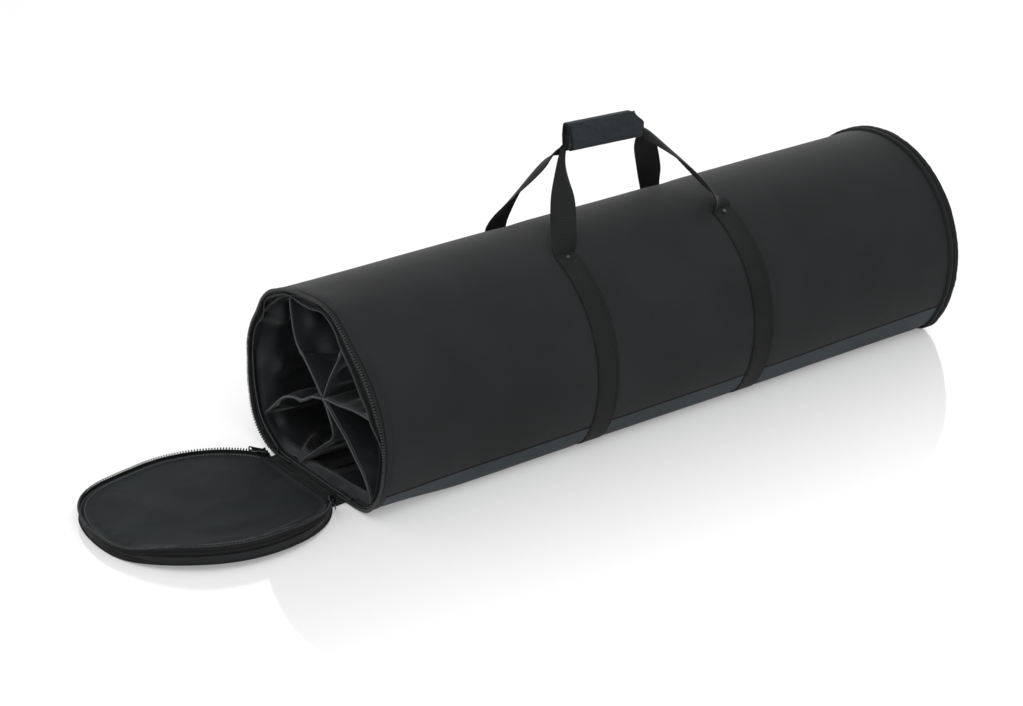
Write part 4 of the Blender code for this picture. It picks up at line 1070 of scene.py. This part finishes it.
def gripRing(turn, halfWidth, halfHeight):
    # rounded section of the grip: turn 0 is the top, and it goes down the near side
    c, s = cos(turn), sin(turn)
    power = 0.72
    return Vector((0, -copysign(abs(s) ** power, s) * halfWidth, copysign(abs(c) ** power, c) * halfHeight))


def gripSpan(z):
    # where the cloth begins and ends at a height above the grip's middle
    up = z / gripSettings["halfHeight"]
    front = gripSettings["front"] + gripSettings["frontSlant"] * ease((0.9 - up) / 1.9) * 0.5
    rear = gripSettings["rear"] + 0.0015 - gripSettings["rearSlant"] * ease((up - 0.05) / 0.95)
    return front, rear


def gripRise(u):
    return mix(gripSettings["frontRise"], gripSettings["rearRise"], u)


def makeGrip():
    g = gripSettings
    length = g["rear"] - g["front"]
    low = -g["halfHeight"] - 0.0012       # the underside of the wrap

    def lookOut(point):
        return Vector((0, point.y, point.z - g["height"]))

    def wrap(u, v):
        puff = 1 + 0.10 * (1 - (2 * u - 1) ** 4)
        ring = gripRing(2 * pi * v, g["halfWidth"] * puff, g["halfHeight"] * 0.96)
        wave = crease(u * 3, cos(2 * pi * v) * 1.5, 3) * g["wrinkle"]
        x = mix(g["front"], gripSpan(ring.z)[1] - 0.002, u)
        y = max(ring.y * (1 + wave * 60), -g["halfWidth"])         # flat behind the hook tape
        return Vector((x, y, g["height"] + gripRise(u) + ring.z))

    def foam(u, v):
        ring = gripRing(2 * pi * v, g["halfWidth"] - 0.0018, g["halfHeight"] - 0.0022)
        x = mix(g["front"] - 0.0015, gripSpan(ring.z)[1] + 0.001, u)
        return Vector((x, ring.y, g["height"] + gripRise(u) + ring.z))

    clothPiece("gripWrap", (44, 72), wrap, (length, 0.11), lookOut, g["wrap"], "handle", "grip_fabric",
               ("grip_wrap",), merge=True)
    piece = clothPiece("gripFoam", (20, 48), foam, (length, 0.10), lookOut, g["foam"], "handle", "foam",
                       ("grip_padding",), merge=True)

    for side, sign in (("near", -1), ("far", 1)):
        def bar(u, v):
            half = mix(0.017, 0.007, max(ease((v - 0.78) / 0.22), ease((0.10 - v) / 0.10)))
            y = sign * legSettings["barOffset"]
            return Vector((mix(g["front"], g["rear"], v), y, g["height"] + mix(-half, half, u)))

        clothPiece("gripBar" + side.title(), (8, 20), bar, (0.034, length), (0, sign, 0),
                   legSettings["webbing"], "handle", "webbing", (f"handle_bar_{side}",), offset=0.0)

    def closing(u, v):
        # the flap of the wrap: from under the grip up its near side, past the top edge
        reach = g["flapRound"]
        if v < g["roundShare"]:
            turn = pi / 2 * (v / g["roundShare"])
            y, z = -reach * sin(turn), low + reach * (1 - cos(turn))
        else:
            share = (v - g["roundShare"]) / (1 - g["roundShare"])
            y, z = -reach - 0.0010 * sin(pi * share), mix(low + reach, g["flapTop"], share)
        front, rear = gripSpan(z)
        folds = crease(u * 4.5 + z * 30, z * 55, 1.7) * 0.6 + crease(u * 11, z * 110 + u * 3, 5.2) * 0.4
        y -= g["wrinkle"] * 0.9 * (folds + 0.6) * ease(v / 0.2)
        return Vector((mix(front, rear, u), y, g["height"] + gripRise(u) + z))

    cloth = clothMaterial("grip_fabric", "Flap", patches=26.0, span=length, lines=[
        (0.0012, 0.0012, 0.5), (0.0165, 0.0010, 1.7), (0.0178, 0.0010, 0.5)])
    clothPiece("gripFlapCloth", (90, 44), closing, (length, 0.058), (0, -1, -0.2), g["flapFabric"],
               "grip_flap", "grip_fabric", ("grip_flap",), material=cloth, angle=50)

    # the wrap's cloth runs on into its flap
    def bend(u, v):
        front, rear = gripSpan(low)
        return Vector((mix(front, rear, u), -0.0004, g["height"] + mix(-0.0150, gripRise(u) + low, v)))

    piece = clothPiece("gripFlapBend", (40, 8), bend, (length, 0.006), (0, -1, 0), g["flapFabric"], None,
                       "grip_fabric")
    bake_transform(piece)


# End flap

flapSettings = {
    "centreX": -0.7235556, "radius": 0.1675, "hingeX": -0.5775, "top": 0.0108, "cut": (0.33, 0.33),
    "lean": -0.0100, "stand": 0.0040,     # on the near side the zipper's tape slopes, and stands higher
    "liningLift": 0.0080,                 # and the lining is raised along its edge
    "pressHeight": 0.0150, "pressKeep": 0.355,
    "teethRadius": 0.1684, "teethHeight": 0.0164, "tapeRadius": 0.1685, "tapeWidth": 0.015,
    "pipingRadius": 0.1662,
    "halfChord": 0.082,                   # half the straight edge, where the teeth end
    "lining": 0.0009, "pad": 0.0076, "shell": 0.0010, "tape": 0.0009, "piping": 0.0013,
    "stitch": (0.0036, 0.0018, 0.0010),   # length, gap and thickness
}
# how far the flap's edge stands out, and how far it is lifted, by turn in degrees: 90 is the near side
flapOut = [(-90, -0.0010), (-60, 0.0030), (-40, 0.0035), (-30, 0.0015), (0, 0.0), (30, 0.0), (50, -0.0015),
           (75, -0.0035), (105, -0.0040), (135, -0.0030), (155, -0.0010), (170, 0.0), (186, 0.0020),
           (200, 0.0070), (213, 0.0125), (225, 0.0135), (236, 0.0085), (247, 0.0010), (258, -0.0025),
           (270, -0.0010)]
flapLifts = [(-90, 0), (30, 0), (42, 0.0008), (58, 0.0045), (80, 0.0085), (105, 0.0100), (128, 0.0098),
             (147, 0.0060), (162, 0.0012), (172, 0), (270, 0)]
# height of the lining from the middle to its edge: a sewn-down line, then a soft roll
rollRun = [(0, 0.0020), (0.40, 0.0022), (0.78, 0.0016), (0.900, 0.0004), (0.925, -0.0006), (0.950, 0.0010),
           (0.972, 0.0014), (0.990, 0.0002), (1.0, -0.0016)]
# the outer fabric as share of the radius and height: the underside, then the low wall round it
shellRun = [(0.0, 0.0), (0.5, 0.0), (0.97, 0.0), (0.995, 0.0016), (1.0, 0.005), (0.999, 0.0100),
            (0.994, 0.0114), (0.988, 0.0108)]


def pressFlat(piece):
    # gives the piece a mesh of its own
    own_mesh(piece)


def flapRaised(turn):
    # how far round the lifted near side is at a turn, from 0 to 1
    return min(1.0, max(0.0, roundRun(flapLifts, degrees(turn))) / 0.0085)


def flapRadius(turn):
    # the disc has a straight edge at the hinge
    chord = flapSettings["hingeX"] - flapSettings["centreX"]
    c = cos(turn)
    return min(flapSettings["radius"], chord / c) if c > 0 else flapSettings["radius"]


def flapPoint(turn, share, z, inset=0.0, reach=None):
    angle = degrees(turn)
    reach = ((flapRadius(turn) if reach is None else reach) + roundRun(flapOut, angle) - inset) * share
    z += max(0.0, roundRun(flapLifts, angle)) * ease((share - 0.5) / 0.5)
    return Vector((flapSettings["centreX"] + reach * cos(turn), -reach * sin(turn), z))


def makeFlap():
    f = flapSettings
    body = "flap"

    def liningPoint(turn, share, height, near):
        return flapPoint(turn, share, f["top"] + smoothRun(rollRun, share) + height,
                         0.0016 - (f["lean"] - 0.001) * near)

    def lining(u, v):
        turn = 2 * pi * v
        near = flapRaised(turn)
        x, y = u * cos(turn), u * sin(turn)
        wave = 0.0012 * softNoise(x * 2, y * 2, 1) + 0.0007 * crease(x * 2.2, y * 2.2, 6) * (1 - u ** 6)
        pucker = 0.0010 * softNoise(v * 60, u * 3, 4) * ease((u - 0.70) / 0.2) * ease((1 - u) / 0.05)
        raised = f["liningLift"] * near * ease((u - 0.80) / 0.12)
        return liningPoint(turn, u, wave * (1 - u ** 8) + pucker + raised, near)

    cloth = clothMaterial("lining_fabric", "Flap", light=(0.0235, 0.0270, 0.0295),
                          dark=(0.0150, 0.0175, 0.0195), rough=0.7, gloss=0.10, sheen=0.03, pitch=0.0011,
                          bump=0.0001, patches=16.0, wrinkle=(9.0, 0.0030))
    pressFlat(clothPiece("flapLining", (60, 300), lining, f["cut"], faceUp, f["lining"], body,
                         "lining_fabric", ("flap_lining",), merge=True, flat=(0, 1), material=cloth))

    def pad(u, v):
        return flapPoint(2 * pi * v, u, 0.0092 + 0.0010 * (1 - u ** 6), 0.0024)

    piece = clothPiece("flapPad", (16, 120), pad, f["cut"], faceUp, f["pad"], body, "foam", ("flap_padding",),
                       merge=True)

    shell = [Vector((*spot, 0)) for spot in shellRun]

    def tray(u, v):
        spot = along(shell, u)
        return flapPoint(2 * pi * v, max(spot.x, 0.0), max(spot.y, 0.0))

    clothPiece("flapShell", (34, 240), tray, f["cut"], (0, 0, -1), f["shell"], body, "outer_fabric",
               ("flap_panel",), merge=True, angle=60)

    # topstitching beside the roll
    points = []
    for i in range(361):
        turn = mix(radians(34), 2 * pi - radians(34), i / 360)
        near = flapRaised(turn)
        points.append(liningPoint(turn, mix(0.968, 0.930, near), 0.0009 + f["liningLift"] * near, near))
    row = stitchRow("flapTopstitch", points, [Vector(faceUp)] * len(points), *f["stitch"])
    finishPiece(row, body, "lining_fabric", material=hardMaterial("greyThread", (0.16, 0.175, 0.18), 0.55))
    pressFlat(row)

    # piping between the lining and the tape
    first = asin(f["halfChord"] / f["teethRadius"])
    last = 2 * pi - first
    points = []
    for i in range(361):
        turn = mix(first + 0.012, last - 0.012, i / 360)
        near = flapRaised(turn)
        reach = f["pipingRadius"] + f["lean"] * near
        points.append(flapPoint(turn, 1.0, 0.0102 + 0.0092 * near, reach=reach))
    cord = clothMaterial("binding_fabric", "Piping", light=(0.060, 0.066, 0.069), dark=(0.030, 0.033, 0.035))
    pressFlat(tube("flapPiping", points, f["piping"], 8, body, "binding_fabric", cord, ("flap_piping",)))

    # zipper tape standing round the edge
    def tape(u, v):
        turn = mix(first, last, v)
        near = flapRaised(turn)
        reach = f["tapeRadius"] + 0.0006 * softNoise(v * 34, u, 0) + f["lean"] * near * u
        height = mix(mix(0.0053, 0.0005, near), 0.0163 + f["stand"] * near, u)
        return flapPoint(turn, 1.0, height, reach=reach)

    def outward(point):
        return Vector((point.x - f["centreX"], point.y, 0))

    banded = clothMaterial("zip_tape", "Band", span=f["tapeWidth"], light=(0.0165, 0.0170, 0.0175),
                           dark=(0.0085, 0.0088, 0.0090), sheen=0.06, lines=[
        (0.0028, 0.0026, 0.25), (0.0060, 0.0020, 1.8), (0.0084, 0.0026, 0.25), (0.0120, 0.0024, 0.3)])
    pressFlat(clothPiece("flapZipTape", (12, 320), tape, (f["tapeWidth"], 0.87), outward, f["tape"], body,
                         "zip_tape", ("flap_zip_tape",), material=banded))


# Zipper coils

coilSettings = {
    "pitch": 0.0041, "turnWidth": 0.00120,
    "flapSize": (0.0040, 0.0030), "mouthSize": (0.0064, 0.0034),     # width and height
    "mouthFrom": -62, "mouthRound": 304, "mouthShare": 0.33,         # degrees, and where on the rim
}


def coilModel(width, height):
    # one turn of the coil: a small arch pressed at its tip
    clearSelection()
    bpy.ops.mesh.primitive_uv_sphere_add(segments=8, ring_count=5, radius=1)
    arch = bpy.context.object
    for spot in arch.data.vertices:
        spot.co.x *= coilSettings["turnWidth"]
        spot.co.y *= width / 2
        spot.co.z = spot.co.z * height / 2 + height / 2
        if spot.co.z > height * 0.7:
            spot.co.x *= 1.35
    return arch


def makeCoils():
    f, g = flapSettings, coilSettings
    first = asin(f["halfChord"] / f["teethRadius"]) + 0.030
    count = int((2 * pi - 2 * first) * f["teethRadius"] / g["pitch"])
    places = []
    for i in range(count):
        turn = mix(first, 2 * pi - first, i / (count - 1))
        near = flapRaised(turn)
        reach = f["teethRadius"] + f["lean"] * near
        spot = flapPoint(turn, 1.0, f["teethHeight"] + f["stand"] * near, reach=reach)
        ahead = flapPoint(turn + 0.01, 1.0, 0, reach=reach)
        ahead.z = spot.z
        places.append(axesAt(spot, ahead - spot, Vector(faceUp)))
    coil = repeatAlong("flapCoil", coilModel(*g["flapSize"]), places)
    finishPiece(coil, "flap", "zip_teeth", material=hardMaterial("coilNylon", (0.016, 0.016, 0.017), 0.34),
                replaces=("flap_zip_teeth",), angle=80)
    pressFlat(coil)

    steps = [rimPoint(g["mouthFrom"] + g["mouthRound"] * i / 1200, g["mouthShare"]) for i in range(1201)]
    spent, want, places = 0.0, 0.0, []
    for a, b in zip(steps, steps[1:]):
        run = (b - a).length
        if spent + run >= want:
            places.append(axesAt(a + Vector((0.0017, 0, 0)), b - a, Vector(faceFront)))
            want += g["pitch"]
        spent += run
    coil = repeatAlong("mouthCoil", coilModel(*g["mouthSize"]), places)
    finishPiece(coil, "bag", "zip_teeth", material=hardMaterial("coilGrey", (0.027, 0.028, 0.029), 0.42),
                replaces=("mouth_zip_teeth",), angle=80)


# Hinge strip between the underside and the flap

hingeSettings = {
    "wallX": -0.5503, "width": 0.028, "fabric": 0.0013,
    "halfStrip": 0.083, "corner": 0.104,           # the strip's ends, and the end of its slack far corner
    "halfStraight": 0.0815, "roundReach": 0.1690,  # past its straight edge it follows the round of the flap
}


def makeHinge():
    g = hingeSettings
    # its dark lines are painted shade in the folds that run along the strip
    banded = clothMaterial("binding_fabric", "Hinge", span=g["width"], lines=[
        (0.003, 0.003, 0.25), (0.0095, 0.003, 0.3), (0.016, 0.003, 0.25), (0.0225, 0.003, 0.3)])

    def strip(name, rows, near, far, body, replaces=()):
        def place(u, v):
            y = mix(near, far, v)
            edge = flapSettings["hingeX"]
            if abs(y) > g["halfStraight"]:
                edge = flapSettings["centreX"] + sqrt(g["roundReach"] ** 2 - y * y)
            bands = 0.0007 * abs(sin(pi * 5 * u))
            slack = 0.0008 * crease(u * 1.5, y * 22, 2.5) * 4 * u * (1 - u)
            return Vector((mix(edge - 0.0007, g["wallX"], u), y, max(0.0014, 0.0017 + bands + slack)))

        return clothPiece(name, (40, rows), place, (g["width"], far - near), faceUp, g["fabric"], body,
                          "binding_fabric", replaces, material=banded)

    piece = strip("hingeStrip", 98, -g["halfStrip"], g["halfStrip"], None, ("hinge_strip",))
    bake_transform(piece)

    # the slack corner past the far end of the hinge, on the bag, with a mesh of its own
    piece = strip("hingeCorner", 14, g["halfStrip"], g["corner"], "bag")
    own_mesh(piece)


# Parts that keep their solids

def finishKept():
    metal = ["flap_zip_stop_near", "flap_zip_stop_far", "mouth_zip_stop_near", "mouth_zip_stop_far",
             "zip_slider_near", "zip_slider_far", "zip_pull_near", "zip_pull_far"]
    rivets = [f"strap_rivet_{side}_{end}" for side in ("near", "far") for end in ("front", "rear")]
    for material, names in (
            (hardMaterial("darkMetal", (0.040, 0.042, 0.045), 0.30, metal=0.9), metal),
            (hardMaterial("rivetMetal", (0.06, 0.062, 0.065), 0.42, metal=0.6), rivets),
            (clothMaterial("zip_tape", "Plain"), ["mouth_zip_tape"]),
            (clothMaterial("hook_tape", "Plain"), ["grip_hook_tape", "grip_loop_tape"])):
        for name in names:
            for place in bpy.data.objects[name].material_slots:
                place.material = material


for stage, make in (("light and floor", makeStage), ("body panels", makePanels), ("lining", makeLining),
                    ("rim", makeRim), ("dividers", makeDividers), ("closed end", makeRear),
                    ("straps", makeStraps), ("legs", makeLegs), ("grip", makeGrip), ("flap", makeFlap),
                    ("coils", makeCoils), ("hinge", makeHinge), ("kept parts", finishKept)):
    make()
    print(stage, "made")
